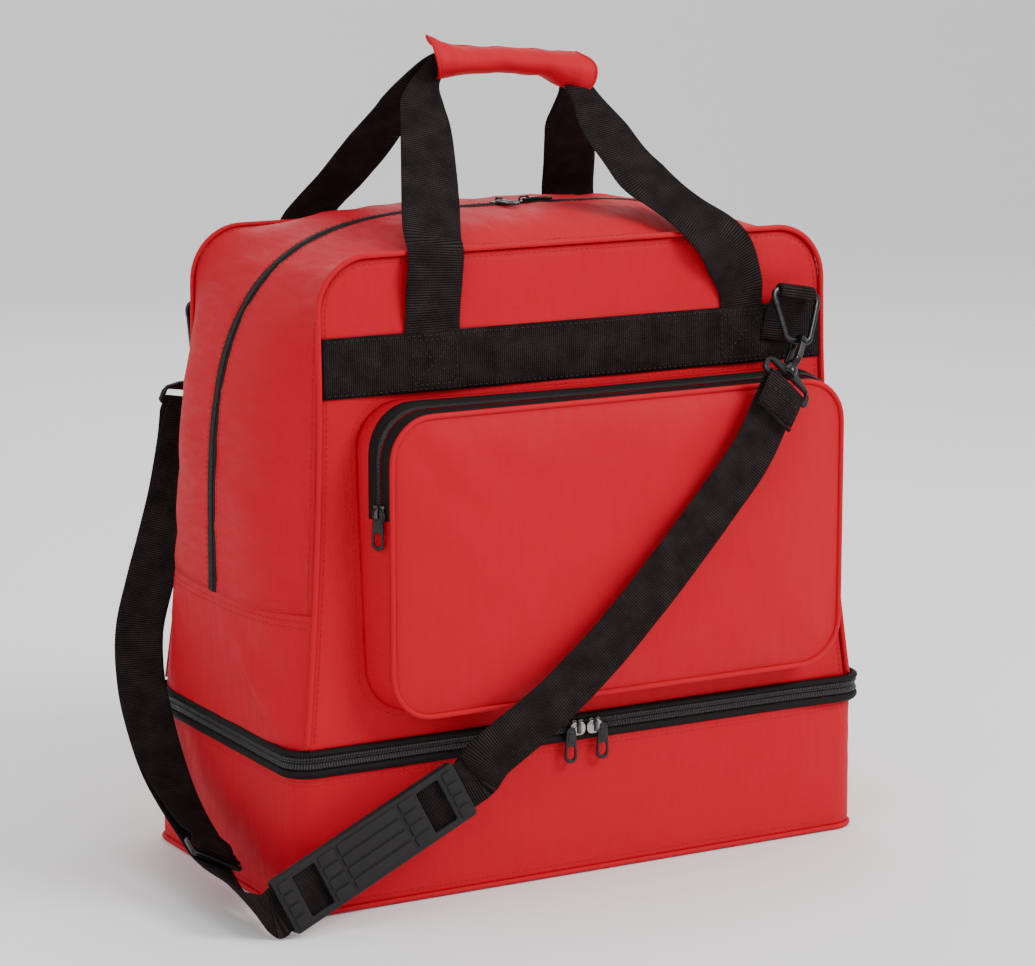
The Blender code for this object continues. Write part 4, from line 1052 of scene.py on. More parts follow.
def grip_section(x):
    """The wrap's centre height and its half sizes across and up, at that distance along it."""
    stops = [
        (-0.0690, 0.6205, 0.0205, 0.0158),
        (-0.0600, 0.6196, 0.0200, 0.0140),
        (-0.0400, 0.6186, 0.0190, 0.0108),
        (-0.0100, 0.6180, 0.0190, 0.0098),
        (0.0250, 0.6150, 0.0190, 0.0104),
        (0.0480, 0.6100, 0.0200, 0.0128),
        (0.0600, 0.6068, 0.0205, 0.0150),
        (0.0680, 0.6052, 0.0205, 0.0158),
    ]
    for a, b in zip(stops, stops[1:]):
        if x <= b[0]:
            break
    t = ease(x, a[0], b[0])
    return [p + (q - p) * t for p, q in zip(a[1:], b[1:])]


def grip_point(x, degrees, out=0.0):
    centre, half_y, half_z = grip_section(x)
    angle = math.radians(degrees)
    crease = 0.0009 * noise.noise(Vector((x * 60, math.cos(angle) * 1.2, math.sin(angle) * 1.2)))
    point = Vector((0, (half_y + out + crease) * math.cos(angle), (half_z + out + crease) * math.sin(angle)))
    lean = 0.0035 * math.sin(angle) * share(abs(x), 0.045, 0.068)
    return Vector((x + lean * math.copysign(1, x), point.y, centre + point.z))


def grip_edge_point(angle, along, out=0.0):
    """The wrap between its uneven ends: a peak at the top left, the other corners cut in."""
    left = -0.0690 + 0.018 * (bell(angle, 15, 55) + bell(angle, 345, 55))
    left -= 0.0030 * bell(angle, 180, 60) + 0.0030 * bell(angle, 112, 18)
    right = 0.0680 - 0.0095 * bell(angle, 100, 38) - 0.0085 * bell(angle, 245, 28)
    x = left + (right - left) * along
    peak = 0.0042 * bell(angle, 112, 22) * share(x, -0.050, -0.074)
    droop = 0.0050 * bell(angle, 245, 34) * share(x, 0.025, 0.062)
    return grip_point(x, angle, out + peak + droop)


def grip():
    turn = [28 + 300 * i / 40 for i in range(41)]
    rows = [[grip_edge_point(angle, i / 46) for i in range(47)] for angle in turn]
    inside = Vector((0, 0, 0.615))
    sheet("grip_wrap_fabric", rows, FABRIC, 0.0016, inside, "grip_wrap", ("grip_wrap",))
    lining = [[grip_edge_point(angle, i / 46, -0.0022) for i in range(1, 46)] for angle in turn]
    sheet("grip_wrap_lining", lining, FABRIC, 0.0014, inside, "grip_wrap")
    flap_reach = [-0.0520 + 0.1165 * i / 40 for i in range(41)]
    drop = [62 - 104 * i / 22 for i in range(23)]
    lifts = [0.0018, *[0.0013] * (len(drop) - 1)]
    rows = [[grip_point(x, angle, out) for x in flap_reach] for angle, out in zip(drop, lifts)]
    sheet("grip_flap_fabric", rows, FABRIC, 0.0011, inside, "grip_flap", ("grip_flap",))
    for name, degrees, out, body in (("seam", 68, 0.0001, "grip_wrap"), ("flap", 56, 0.0015, "grip_flap")):
        line = [grip_point(x, degrees, out) for x in flap_reach]
        ways = [(p - Vector((p.x, 0, grip_section(p.x)[0]))).normalized() for p in line]
        stitches("grip_stitches_" + name, line, ways, RED_THREAD, body, radius=0.0003)
    for side in (-1, 1):
        line = [grip_edge_point(angle, 0.002 if side < 0 else 0.998, -0.0004) for angle in turn]
        tube(f"grip_hem_{'left' if side < 0 else 'right'}", line, 0.0012, PIPING, "grip_wrap")


# ---------------------------------------------------------------- front pocket


def pocket_outline(inset=0.0, steps=8):
    centre = ((POCKET_LEFT + POCKET_RIGHT) / 2, (POCKET_LOW + POCKET_HIGH) / 2)
    half_width = (POCKET_RIGHT - POCKET_LEFT) / 2 - inset
    half_height = (POCKET_HIGH - POCKET_LOW) / 2 - inset
    return rounded_rectangle(half_width, half_height, POCKET_CORNER - inset, steps, centre)


def pocket_face_point(share_x, share_z, inset=0.0012):
    """The pocket's puffed face, soft and a little creased at its corners."""
    centre_x = (POCKET_LEFT + POCKET_RIGHT) / 2
    half_width = (POCKET_RIGHT - POCKET_LEFT) / 2 - inset
    corner = POCKET_CORNER - inset
    past = max(abs(share_x) * half_width - (half_width - corner), 0.0)
    trim = corner - math.sqrt(max(corner**2 - past**2, 0.0))
    low = POCKET_LOW + inset + trim
    high = POCKET_HIGH - inset - trim
    z = (low + high) / 2 + (high - low) / 2 * share_z
    x = centre_x + share_x * half_width
    puff = POCKET_PUFF * (1 - share_x**4) ** 0.8 * (1 - share_z**4) ** 0.8
    free = (1 - share_x**6) * (1 - share_z**6)
    fold = 0.0026 * rumple((x * 0.9, 0.4, z * 1.3), 0.085, 2.0)
    fold += 0.0012 * noise.noise(Vector((x * 26 + z * 14, 2.0, z * 40)))
    for corner_x, corner_z, way in ((POCKET_LEFT, POCKET_HIGH, 1), (POCKET_RIGHT, POCKET_LOW, 1),
                                    (POCKET_LEFT, POCKET_LOW, -1), (POCKET_RIGHT, POCKET_HIGH, -1)):
        along, aside = (x - corner_x) - way * (z - corner_z), (x - corner_x) + way * (z - corner_z)
        near = math.exp(-(along**2) / 0.018) * math.exp(-(aside**2) / 0.0090)
        fold += 0.0022 * near * math.sin(aside * 95 + 3 * noise.noise(Vector((along * 9, aside * 9, 1.0))))
    return lean(Vector((x, POCKET_FACE_Y + 0.0004 - puff - fold * free, z)))


def lean(p):
    """Slants the pocket's left and top walls: the face is set in from the backing, whose left end rises."""
    out = share(-p.y, 0.120, -POCKET_FACE_Y)
    front = ease(-p.y, 0.1275, 0.1495)
    left = share(p.x, POCKET_LEFT + 0.120, POCKET_LEFT)
    high = share(p.z, POCKET_HIGH - 0.080, POCKET_HIGH)
    right = share(p.x, POCKET_RIGHT - 0.080, POCKET_RIGHT)
    rise = 0.0038 + 0.0024 * share(p.x, POCKET_LEFT + 0.190, POCKET_LEFT)
    across = 0.0085 * out * left - 0.0040 * (1 - out) * left**2 + 0.0022 * right
    return Vector((p.x + across, p.y, p.z + (rise * (1 - front) - 0.0034 * front) * high))


def fold_blend(obj, nodes=()):
    """The pocket's face, baked in place, with its CAD nodes hidden."""
    return blended(obj, nodes)


def pocket():
    columns, rows = 60, 40
    grid = []
    for j in range(rows + 1):
        share_z = math.sin(math.pi / 2 * (2 * j / rows - 1))
        across = [math.sin(math.pi / 2 * (2 * i / columns - 1)) for i in range(columns + 1)]
        grid.append([pocket_face_point(share_x, share_z) for share_x in across])
    obj = thicken(grid_mesh("pocket_fabric", grid, FABRIC), 0.0020, (0, 0, 0.26))
    fold_blend(obj, ("pocket_face", "pocket_flap"))
    rim = [lean(Vector((x, POCKET_FACE_Y + 0.0004, z))) for x, z in pocket_outline(-0.0004)]
    cord = even_line(rim, 0.005, closed=True)
    obj = tube("pocket_cord", cord, CORD_RADIUS, PIPING, closed=True)
    fold_blend(obj, ("pocket_piping", "pocket_flap_piping"))
    pocket_walls()


def pocket_walls():
    """The pocket's wall of fabric, the zip laid over its upper part and the stitches round its foot."""
    line = even_line([(x, 0, z) for x, z in pocket_outline(0.0)], 0.0065, closed=True)
    count = len(line)
    normals = []
    for i in range(count):
        way = (line[(i + 1) % count] - line[i - 1]).normalized()
        normals.append(Vector((way.z, 0, -way.x)))
    centre = (POCKET_LEFT + POCKET_RIGHT) / 2
    rows = []
    for t in [i / 8 for i in range(9)]:
        bulge = 0.0008 * math.sin(math.pi * t) - 0.0006
        row = []
        for p, n in zip(line, normals):
            start = -front_depth(p.x, p.z) - 0.0002
            y = start + (POCKET_FACE_Y + 0.001 - start) * t
            ripple = 0.0006 * noise.noise(Vector((p.x * 30, y * 60, p.z * 30)))
            row.append(lean(Vector((p.x, y, p.z)) + n * (bulge + ripple * math.sin(math.pi * t))))
        rows.append(row)
    inside = (centre, -0.13, 0.26)
    nodes = ("pocket_gusset",)
    sheet("pocket_wall_fabric", rows, FABRIC, 0.0018, inside, "front_shell", nodes, closed=True)
    zip_run = zip_part(line, normals, centre)
    for kind, back, front, lift, finish in (
        ("back", -0.1290, -0.1362, 0.0007, TAPE),
        ("front", -0.1402, -0.1480, 0.0007, TAPE),
        ("coil", -0.1364, -0.1400, 0.0014, COIL),
    ):
        rows = []
        steps = 6
        for k in range(steps + 1):
            t = k / steps
            dome = math.sin(math.pi * t) * (0.0007 if kind == "coil" else 0.0004)
            y = back + (front - back) * t
            rows.append([lean(Vector((p.x, y, p.z)) + n * (lift + dome)) for p, n in zip_run])
        nodes = ("pocket_zip_tape",) if kind == "back" else ()
        sheet(f"pocket_zip_{kind}", rows, finish, 0.0006, inside, "front_shell", nodes)
    backing = []
    for p, n in zip([*line, line[0]], [*normals, normals[0]]):
        spot = lean(Vector((p.x, -0.118, p.z)) + n * (0.0022 + 0.0020 * share(p.x, 0.0, POCKET_LEFT)))
        backing.append(panel_skin_point(-1, spot.x, spot.z, 0.0))
    ways = [Vector((0, -1, 0))] * len(backing)
    stitches("pocket_backing_stitches", backing, ways, RED_THREAD, "front_shell")


def zip_part(line, normals, centre):
    """The stretch of the pocket's outline that the zip follows, from its right foot to its left one."""
    pairs = list(zip(line, normals))
    feet = {1: ZIP_FOOT_RIGHT, -1: ZIP_FOOT_LEFT}
    keep = [p.z > feet[1 if p.x > centre else -1] for p, _ in pairs]
    first = next(i for i in range(len(pairs)) if keep[i] and not keep[i - 1])
    return [pairs[(first + i) % len(pairs)] for i in range(sum(keep))]


# ---------------------------------------------------------------- zip sliders


def hook_frame(origin, across, hang, normal):
    placed = frame_at(origin, across, hang)
    if placed.to_3x3().col[1].dot(Vector(normal)) < 0:
        placed = frame_at(origin, -across, hang)
    return placed


def slider(name, origin, hinge_axis, hang, normal, head_shift=0.0, puller_shift=0.0, hood=None):
    """A slider with a domed hood and its bridge, and a puller with an eye, or with an oval hole."""
    across = Vector(hinge_axis)
    origin = Vector(origin)
    placed = hook_frame(origin + across.normalized() * head_shift, across, hang, normal)
    bridge = [(-0.0046, 0.0030), (-0.0036, 0.0030), (-0.0034, 0.0056), (-0.0026, 0.0062), (0.0026, 0.0062)]
    bridge += [(0.0034, 0.0056), (0.0036, 0.0030), (0.0046, 0.0030), (0.0044, 0.0060), (0.0030, 0.0074)]
    bridge += [(-0.0030, 0.0074), (-0.0044, 0.0060)]
    finish = DARK_METAL if name.startswith("main") else METAL
    plate(name + "_bridge", [bridge], 0.0026, placed, finish, name, edge=0.0004)
    top = placed @ Matrix.Translation((0, 0.0026, 0)) @ Matrix.Rotation(-math.pi / 2, 4, "X")
    wings = [(0.0066, -0.0020), (0.0066, 0.0020), (0.0046, 0.0044), (-0.0020, 0.0042), (-0.0060, 0.0050)]
    wings += [(-0.0060, 0.0016), (-0.0044, 0.0), (-0.0060, -0.0016), (-0.0060, -0.0050), (-0.0020, -0.0042)]
    wings += [(0.0046, -0.0044)]
    plate(name + "_top", [wings], 0.0016, top, finish, name, (name,), edge=0.0005)
    if hood:
        across_half, along_half = hood
        dome = top @ Matrix.Translation((0.0012, 0, 0.0006))
        for level, size in ((0.0, 1.0), (0.0007, 0.80), (0.0013, 0.52)):
            shape = rounded_rectangle(along_half * size, across_half * size, along_half * size * 0.8, 6)
            at = dome @ Matrix.Translation((0, 0, level))
            skin = BRIGHT if name.startswith("boot") else GLOSS
            plate(f"{name}_hood_{int(size * 100)}", [shape], 0.0016, at, skin, name, edge=0.0007)
    hinge = placed @ Vector((0, 0.0043, 0)) + across * (puller_shift - head_shift)
    lie = frame_at(hinge, normal, hang)
    slim = name == "main_slider_right"
    half = 0.0034 if slim else 0.0054
    foot = 0.0225
    outline = arc((foot, 0), (half * 0.9, half), -90, 15, 13)
    outline += arc((0.0020, 0), (0.0034, half * 0.78), 90, 22.5, 9)
    if slim:
        hole = rounded_rectangle(0.0085, 0.0016, 0.0015, 6, (0.0145, 0))
    else:
        hole = rounded_rectangle(0.0052, 0.0032, 0.0030, 8, (0.0192, 0))
    puller = name.replace("slider", "puller")
    skin = DARK_METAL if name.startswith("main") else GLOSS
    plate(puller + "_plate", [outline, hole], 0.0020, lie, skin, puller, (puller,), edge=0.0007)
    press = [rounded_rectangle(0.0042, half * 0.55, half * 0.4, 6, (0.0068, 0))]
    raised = lie @ Matrix.Translation((0, 0, 0.0009))
    plate(puller + "_boss", press, 0.0012, raised, skin, puller, edge=0.0005)


def sliders():
    front_y = -(BASE_DEPTH / 2 + 0.0016 + 0.0008)
    top_z = ARCH_FOOT + MIDDLE_HEIGHT - 0.0018
    right, front, up = Vector((1, 0, 0)), Vector((0, -1, 0)), Vector((0, 0, 1))
    hood = (0.0068, 0.0052)
    slider("boot_slider_left", (-0.0160, front_y, HINGE_Z), right, -up, front, 0.0025, -0.0040, hood)
    slider("boot_slider_right", (0.0040, front_y, HINGE_Z), right, -up, front, -0.0025, 0.0040, hood)
    slider("main_slider_left", (-0.0080, 0, top_z), right, front, up)
    slider("main_slider_right", (0.0140, 0, top_z), front, right, up)
    middle_y = (POCKET_MIDDLE_Y + POCKET_RIM_Y) / 2
    at = lean(Vector((POCKET_LEFT, middle_y, 0.303)))
    wall = Vector((-0.86, -0.50, 0)).normalized()
    slider("pocket_slider", at, Vector((0.50, -0.86, 0)), -up, wall, hood=(0.0056, 0.0060))


# ---------------------------------------------------------------- rings and snap hooks


def ring_assembly(word, joint, body):
    bar, apex = joint["bar"], joint["apex"]
    placed = frame_at(bar, bar - apex, joint["ring_right"])
    half = RING_HALF_WIDTH
    left = [
        (-0.0040, -RING_HEIGHT + 0.0001),
        (-0.0080, -RING_HEIGHT + 0.0007),
        (-0.0106, -RING_HEIGHT + 0.0026),
        (-0.0122, -RING_HEIGHT + 0.0062),
        (-half + 0.0010, -0.0100),
        (-half, -0.0056),
        (-half + 0.0008, -0.0020),
        (-half + 0.0034, -0.0002),
        (-half + 0.0070, 0),
    ]
    right = [(-x, z) for x, z in reversed(left)]
    middle = even_line([(x, 0, z) for x, z in smooth_flat([*left, *right])], 0.0011, closed=True)
    outer, inner = [], []
    for i, p in enumerate(middle):
        way = (middle[(i + 1) % len(middle)] - middle[i - 1]).normalized()
        off = Vector((-way.z, 0, way.x))
        wide = 0.0023 if p.z > -0.012 or p.z < -RING_HEIGHT + 0.004 else 0.0020
        outer.append(((p + off * wide).x, (p + off * wide).z))
        inner.append(((p - off * wide).x, (p - off * wide).z))
    stand = placed @ Matrix.Rotation(math.pi / 2, 4, "X")
    plate(word + "_ring_wire", [outer, inner], 0.0034, stand, GLOSS, body, (word + "_ring",), edge=0.0010)
    ring_tab(word, placed, joint["tab_reach"], body)
    snap_hook(word, joint, body)


def smooth_flat(outline):
    """A closed flat outline, rounded through its points."""
    points = [Vector((x, y, 0)) for x, y in [*outline, outline[0]]]
    return [(p.x, p.y) for p in smooth_line(points, 4)[:-1]]


def ring_tab(word, ring_place, reach, body):
    """Thick webbing that comes off the band, turns over the ring's bar and is folded in front."""
    width_way = ring_place.to_3x3().col[0]
    placed = frame_at(ring_place.translation, width_way, (0, 0, 1))
    turn = 0.0021 + 0.0004 + 0.0016
    path = [(-reach, -0.040), (-reach, -0.024), (-reach * 0.80, -0.013), (-turn - 0.0008, -0.005)]
    path += [(-turn * math.cos(math.pi * i / 8), turn * math.sin(math.pi * i / 8)) for i in range(9)]
    path += [(turn, -0.0022), (turn - 0.0002, -0.0040)]
    line = smooth_line([placed @ Vector((up, out, 0)) for out, up in path], 3)
    sides = [width_way] * len(line)
    widths, nodes = [TAB_WIDTH] * len(line), (word + "_ring_tab",)
    webbing(word + "_ring_webbing", line, sides, widths, TAB_THICKNESS, WEBBING, body, nodes)


def hook_outline():
    """The snap hook from the front: a round-shouldered bow, open on one side, over a neck and a ball."""
    inner, outer = 0.0046, 0.0080
    top, foot = 0.0056, -0.0200
    bow = arc((0, top - 0.0060), (outer, outer), 180, -15, 13)
    within = arc((0, top - 0.0060), (inner, inner), 0, 15, 13)
    neck = [(0.0072, foot - 0.0034), (0.0050, -0.0262), (0.0030, -0.0280), (0.0022, -0.0300)]
    neck.append((0.0020, -0.0370))
    left_neck = [(-x, y) for x, y in reversed(neck)]
    nose = [(-outer, -0.0022), (-inner - 0.0001, -0.0030)]
    stem = [(outer, foot), *neck, *left_neck, (-outer, foot), (-inner, foot - 0.0004), (inner, foot)]
    return [*bow, *stem, *within, nose[1], nose[0]]


def snap_hook(word, joint, body):
    apex, ball = joint["apex"], joint["ball"]
    chain = frame_at(apex, apex - ball, joint["ring_right"])
    turn = Matrix.Rotation(HOOK_TURN, 4, "Z")
    stand = Matrix.Rotation(math.pi / 2, 4, "Z") @ Matrix.Rotation(math.pi / 2, 4, "X")
    placed = chain @ turn @ stand
    name = word + "_hook"
    plate(name + "_bow", [hook_outline()], 0.0056, placed, GLOSS, name, (name,), edge=0.0011)
    gate = [(-0.0082, -0.0192), (-0.0050, -0.0196), (-0.0049, -0.0036), (-0.0077, -0.0034)]
    plate(name + "_gate_leaf", [gate], 0.0048, placed, METAL, name + "_gate", (name + "_gate",), edge=0.0005)
    profile = [(0.0002, 0.0046), (0.0026, 0.0042), (0.0044, 0.0026), (0.0050, 0.0004)]
    profile += [(0.0046, -0.0020), (0.0034, -0.0034), (0.0030, -0.0040), (0.0030, -0.0052)]
    at = chain @ Matrix.Translation((0, 0, -0.0272))
    turned(name + "_ball", profile, at, GLOSS, name)
    loop = frame_at(apex, apex - ball, joint["loop_right"])
    swivel_loop(word, loop @ Matrix.Translation((0, 0, -HOOK_LENGTH)), body)


def swivel_loop(word, placed, body):
    """The strap's loop: a collar for the ball over a flat frame with one long slot."""
    stand = placed @ Matrix.Rotation(math.pi / 2, 4, "X")
    outer = [(-0.0255, -0.0150), (-0.0236, -0.0172), (0.0236, -0.0172), (0.0255, -0.0150), (0.0252, -0.0070)]
    outer += [(0.0222, -0.0022), (0.0125, 0.0022), (0.0062, 0.0034), (-0.0062, 0.0034), (-0.0125, 0.0022)]
    outer += [(-0.0222, -0.0022), (-0.0252, -0.0070)]
    slot = rounded_rectangle(0.0215, 0.0042, 0.0014, 4, (0, -0.0088))
    nodes = (word + "_hook_loop",)
    plate(word + "_loop_frame", [outer, slot], 0.0036, stand, GLOSS, body, nodes, edge=0.0010)
    collar = [(0.0034, 0.0048), (0.0050, 0.0050), (0.0060, 0.0040), (0.0062, 0.0020), (0.0060, -0.0016)]
    collar += [(0.0052, -0.0034), (0.0034, -0.0036)]
    turned(word + "_loop_collar", collar, placed, GLOSS, body)


# ---------------------------------------------------------------- shoulder strap


def loop_bar(joint):
    chain = frame_at(joint["apex"], joint["apex"] - joint["ball"], joint["loop_right"])
    return chain @ Matrix.Translation((0, 0, -HOOK_LENGTH - LOOP_BAR))


def half_turn(radius, steps=8):
    angles = [math.pi * i / steps for i in range(steps + 1)]
    return [(-radius * math.cos(a), radius * math.sin(a)) for a in angles]


def pad_axis():
    return (PAD_TOP - PAD_FOOT).normalized()


def pad_across():
    facing = Vector((-0.10, -1, 0.12)).normalized()
    return facing.cross(pad_axis()).normalized()


def front_strap():
    bar = loop_bar(FRONT_JOINT)
    turn = BAR_TURN
    fold = strap_fold(bar, (0.116, -0.1735, 0.3270))
    sewn = [(-turn - 0.0008, -0.0255), (-turn - 0.0012, -0.019), (-turn - 0.0008, -0.011), (-turn, -0.004)]
    start = [fold @ Vector((0, y, z)) for y, z in sewn]
    start += [bar @ Vector((0, y, z)) for y, z in half_turn(turn)]
    start.append(fold @ Vector((0, turn * 0.9, -0.012)))
    route = [
        (0.116, -0.1735, 0.3270),
        (0.084, -0.1760, 0.2915),
        (0.050, -0.1780, 0.2560),
        (0.016, -0.1790, 0.2215),
        (-0.0185, -0.1790, 0.1885),
        (-0.0537, -0.1770, 0.1580),
        (-0.0729, -0.1745, 0.1430),
        (-0.0918, -0.1700, 0.1285),
        (-0.1090, -0.1635, 0.1130),
        PAD_TOP + pad_axis() * 0.010,
    ]
    flowing = smooth_line([start[-1], *route], 8)
    line = [*start, *flowing[1:], PAD_TOP, (PAD_TOP + PAD_FOOT) / 2]
    fade = [share(i, len(start) - 1, len(start) + 64) for i in range(len(line))]
    side = bar.to_3x3().col[0]
    across = [side.lerp(-pad_across(), f) for f in fade]
    widths = [STRAP_WIDTH] * len(line)
    name = "front_strap_webbing"
    obj = webbing(name, line, across, widths, STRAP_THICKNESS, WEBBING, cup=0.0004, wave=0.0004)
    blended(obj, ("strap_front",))
    hem = [fold @ Vector((x, -turn - 0.0012, -0.0255)) for x in [0.0185 * (i / 8 - 1) for i in range(17)]]
    tube("front_strap_hem", hem, HEM_RADIUS, WEBBING, "front_shell")
    sew_strap("front_strap_sewing", fold, -turn - 0.0021, (-0.0225, -0.0085), "front_shell")


def strap_fold(bar, towards):
    """The slanted frame of a strap that leaves its bar towards a point: across, back and up the strap."""
    side = bar.to_3x3().col[0].normalized()
    up = (bar.translation - Vector(towards)).normalized()
    back = up.cross(side).normalized()
    placed = Matrix((side, back, up)).transposed().to_4x4()
    placed.translation = bar.translation
    return placed


def sew_strap(name, bar, out, reach, body):
    """The box of stitches that holds the strap's turned end."""
    low, high = reach
    corners = [(-0.0155, low), (0.0155, low), (0.0155, high), (-0.0155, high)]
    for index in range(4):
        (x0, z0), (x1, z1) = corners[index], corners[(index + 1) % 4]
        line = [bar @ Vector((x0 + (x1 - x0) * i / 8, out, z0 + (z1 - z0) * i / 8)) for i in range(9)]
        ways = [-bar.to_3x3().col[1]] * 9
        stitches(f"{name}_{index}", line, ways, BLACK_THREAD, body, radius=0.00032)


def rear_strap():
    bar = loop_bar(BACK_JOINT)
    route = [
        (bar @ Vector((0, -BAR_TURN, -0.010)), bar.to_3x3().col[0]),
        ((-0.2125, 0.1570, 0.315), (-0.98, 0.05, -0.12)),
        ((-0.2205, 0.1545, 0.275), (-0.93, 0.32, 0)),
        ((-0.2340, 0.1475, 0.238), (-0.87, 0.49, 0)),
        ((-0.2480, 0.1410, 0.203), (-0.87, 0.49, 0)),
        ((-0.2635, 0.1270, 0.168), (-0.87, 0.49, 0)),
        ((-0.2730, 0.1030, 0.132), (-0.87, 0.46, 0.08)),
        ((-0.2770, 0.0740, 0.099), (-0.88, 0.36, 0.18)),
        ((-0.2800, 0.0410, 0.071), (-0.90, 0.22, 0.28)),
        ((-0.2825, 0.0060, 0.052), (-0.91, 0.08, 0.38)),
        ((-0.2855, -0.0300, 0.0400), (-0.90, 0, 0.43)),
        (TRI_GLIDE, TRI_GLIDE_SIDE),
        ((-0.2900, -0.0840, 0.0270), (-0.82, 0, 0.57)),
        ((-0.2905, -0.1120, 0.0240), (-0.72, 0, 0.69)),
        ((-0.2935, -0.1400, 0.0208), (-0.58, 0, 0.80)),
        (PAD_FOOT - pad_axis() * 0.016, pad_across()),
        (PAD_FOOT - pad_axis() * 0.009, pad_across()),
        (PAD_FOOT + pad_axis() * 0.003, pad_across()),
    ]
    steps = 7
    down = smooth_line([point for point, _ in route], steps)
    sides = smooth_line([side for _, side in route], steps)
    glide = glide_frame()
    glide_at = steps * 11
    up, up_sides = [], []
    for i, along in enumerate(tangents(down)[: glide_at - 7]):
        away = -along.cross(sides[i]).normalized()
        near = (2 * BAR_TURN - 0.0024) * share(i, 7, 0)
        apart = 0.0024 + near + 0.0050 * share(i, steps * 7, glide_at)
        up.append(down[i] + away * apart)
        up_sides.append(sides[i])
    tail = [(-0.0092, 0.0046), (-0.0062, 0.0008), (-0.0036, -0.0020), (0, -0.0029)]
    tail += [(0.0036, -0.0020), (0.0062, 0.0008), (0.0100, 0.0036), (0.0160, 0.0044)]
    line = [glide @ Vector((0, y, z)) for y, z in tail]
    across = [Vector(TRI_GLIDE_SIDE)] * len(tail)
    line += reversed(up)
    across += reversed(up_sides)
    over = [bar @ Vector((0, y, z)) for y, z in reversed(half_turn(BAR_TURN))]
    line += over
    across += [bar.to_3x3().col[0]] * len(over)
    line += down
    across += sides
    line.append((PAD_TOP + PAD_FOOT) / 2)
    across.append(pad_across())
    widths = [STRAP_WIDTH] * len(line)
    sizes, nodes = (widths, STRAP_THICKNESS), ("strap_rear",)
    webbing("rear_strap_webbing", line, across, *sizes, WEBBING, "upper_bag", nodes, cup=0.0003)
    tri_glide(glide)


def glide_frame():
    along = Vector((-0.06, -0.95, -0.26)).normalized()
    side = Vector(TRI_GLIDE_SIDE)
    out = side.cross(along).normalized()
    return frame_at(Vector(TRI_GLIDE) + out * 0.0052, out, -side)


def tri_glide(placed):
    outer = rounded_rectangle(0.0225, 0.0125, 0.0042, 6)
    upper = rounded_rectangle(0.0197, 0.0036, 0.0012, 4, (0, 0.0058))
    lower = rounded_rectangle(0.0197, 0.0036, 0.0012, 4, (0, -0.0058))
    outlines, nodes = [outer, upper, lower], ("tri_glide",)
    plate("tri_glide_frame", outlines, 0.0042, placed, GLOSS, "upper_bag", nodes, edge=0.0014)


def shoulder_pad():
    """A moulded sleeve: a face with two windows and raised ribs, its back, and its closed edges."""
    centre = (PAD_TOP + PAD_FOOT) / 2 + pad_axis() * PAD_SHIFT
    facing = pad_axis().cross(pad_across())
    placed = frame_at(centre, facing, pad_axis())
    if placed.to_3x3().col[2].y > 0:
        placed = placed @ Matrix.Rotation(math.pi, 4, "X")
    half_length, half_width = PAD_LENGTH / 2, PAD_WIDTH / 2
    outer = rounded_rectangle(half_length, half_width, 0.0030, 6)
    windows = [rounded_rectangle(0.0100, 0.0170, 0.0014, 4, (side * 0.0570, 0)) for side in (-1, 1)]
    face = placed @ Matrix.Translation((0, 0, 0.0037))
    back = placed @ Matrix.Translation((0, 0, -0.0020))
    plate("pad_face", [outer, *windows], 0.0040, face, RUBBER, "shoulder_pad", ("shoulder_pad",), edge=0.0012)
    plate("pad_back", [outer], 0.0022, back, RUBBER, "shoulder_pad", edge=0.0006)
    middle = placed @ Matrix.Translation((0, 0, 0.0006))
    for word, side in (("low", -1), ("high", 1)):
        rail = rounded_rectangle(half_length - 0.0012, 0.0011, 0.0006, 3, (0, side * (half_width - 0.0016)))
        plate("pad_rail_" + word, [rail], 0.0042, middle, RUBBER, "shoulder_pad", edge=0.0003)
    pad_ribs(placed @ Matrix.Translation((0, 0, 0.0059)))


def pad_ribs(placed):
    """Flat raised bars in four rows: short ones at the ends and beside the windows, long ones between."""
    rows = [-0.0147, -0.0049, 0.0049, 0.0147]
    blocks = [(-0.0755, 0.0048), (-0.0370, 0.0070), (0.0, 0.0268), (0.0370, 0.0070), (0.0755, 0.0048)]
    for column, (middle, half) in enumerate(blocks):
        for row, across in enumerate(rows):
            shape = rounded_rectangle(half, 0.0041, 0.0012, 4, (middle, across))
            plate(f"pad_rib_{column}_{row}", [shape], 0.0020, placed, RUBBER, "shoulder_pad", edge=0.0007)


# ---------------------------------------------------------------- carried-over CAD nodes


def finish_cad():
    for node, finish in (("base_panel", FABRIC), ("base_board", BOARD), ("divider_board", BOARD)):
        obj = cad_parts[node]
        for slot in obj.material_slots:
            slot.link = "OBJECT"
            slot.material = finish_object[finish.name]


finish_object = {
    FABRIC.name: red_fabric("fabric_weave_flat", "Object"),
    BOARD.name: BOARD,
}


# ---------------------------------------------------------------- studio


LIGHTS = (
    ("key_light", (1.7, -2.1, 2.4), 1.5, 84),
    ("fill_light", (-2.6, -1.5, 1.2), 2.0, 22),
    ("top_light", (0.2, 0.2, 2.8), 2.0, 22),
    ("back_light", (0.8, 2.4, 1.6), 1.6, 10),
)
LIGHTS_AIM, AIR_STRENGTH = Vector((0, 0, 0.28)), 0.80


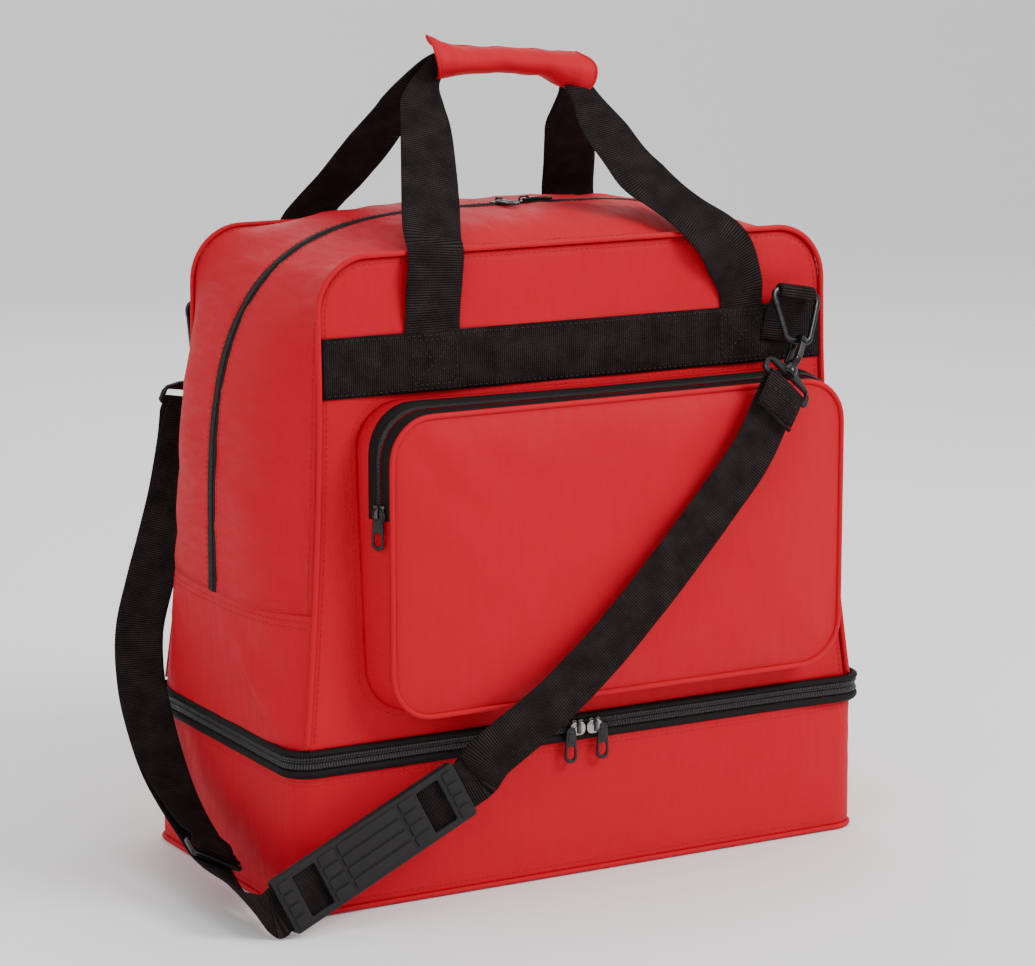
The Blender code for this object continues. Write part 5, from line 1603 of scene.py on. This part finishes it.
def studio():
    """A pale floor that sweeps up behind, four round lights and even air."""
    sweep = [(-6.0, -0.0004), (0.0, -0.0004), (3.0, -0.0004)]
    turn = [math.radians(9 * i) for i in range(1, 11)]
    sweep += [(3.0 + 2 * math.sin(angle), 2 - 2 * math.cos(angle)) for angle in turn]
    sweep.append((5.0, 7.0))
    floor = grid_mesh("floor", [[Vector((x, y, z)) for x in (-8, 0, 8)] for y, z in sweep], studio_floor())
    for name, at, size, power in LIGHTS:
        light = bpy.data.lights.new(name, "AREA")
        light.shape = "DISK"
        light.size = size
        light.energy = power
        lamp = bpy.data.objects.new(name, light)
        lamp.location = at
        way = LIGHTS_AIM - Vector(at)
        lamp.rotation_euler = way.to_track_quat("-Z", "Y").to_euler()
        bpy.context.scene.collection.objects.link(lamp)
    world = bpy.data.worlds.new("studio_air")
    world.use_nodes = True
    world.node_tree.nodes["Background"].inputs["Color"].default_value = (1, 1, 1, 1)
    world.node_tree.nodes["Background"].inputs["Strength"].default_value = AIR_STRENGTH
    bpy.context.scene.world = world


def studio_floor():
    paint = Paint("floor_paper", (0.86, 0.86, 0.86), 0.9, coords="Object")
    grain = paint.noise(300, 2.0)
    paint.color(paint.mix(grain, (0.93, 0.93, 0.93, 1), (0.97, 0.97, 0.97, 1)))
    return paint.material


CAMERA_LENS, CAMERA_DISTANCE = 121.74, 2.772
CAMERA_AZIMUTH, CAMERA_ELEVATION = math.radians(-29.34), math.radians(10.93)
CAMERA_TARGET = Vector((0.0085, 0, 0.2839))


def camera():
    data = bpy.data.cameras.new("camera")
    data.lens = CAMERA_LENS
    data.sensor_width = 36
    data.sensor_fit = "HORIZONTAL"
    data.clip_start = 0.1
    data.clip_end = 50
    level = math.cos(CAMERA_ELEVATION)
    across, away = math.sin(CAMERA_AZIMUTH) * level, -math.cos(CAMERA_AZIMUTH) * level
    back = Vector((across, away, math.sin(CAMERA_ELEVATION)))
    obj = bpy.data.objects.new("camera", data)
    obj.location = CAMERA_TARGET + back * CAMERA_DISTANCE
    obj.rotation_euler = (-back).to_track_quat("-Z", "Y").to_euler()
    bpy.context.scene.collection.objects.link(obj)
    bpy.context.scene.camera = obj


boot_box()
boot_zip()
main_zip()
main_compartment()
bands()
handles()
grip()
pocket()
sliders()
ring_assembly("front", FRONT_JOINT, "front_shell")
ring_assembly("back", BACK_JOINT, "upper_bag")
front_strap()
rear_strap()
shoulder_pad()
finish_cad()
studio()
camera()

bpy.context.view_layer.update()
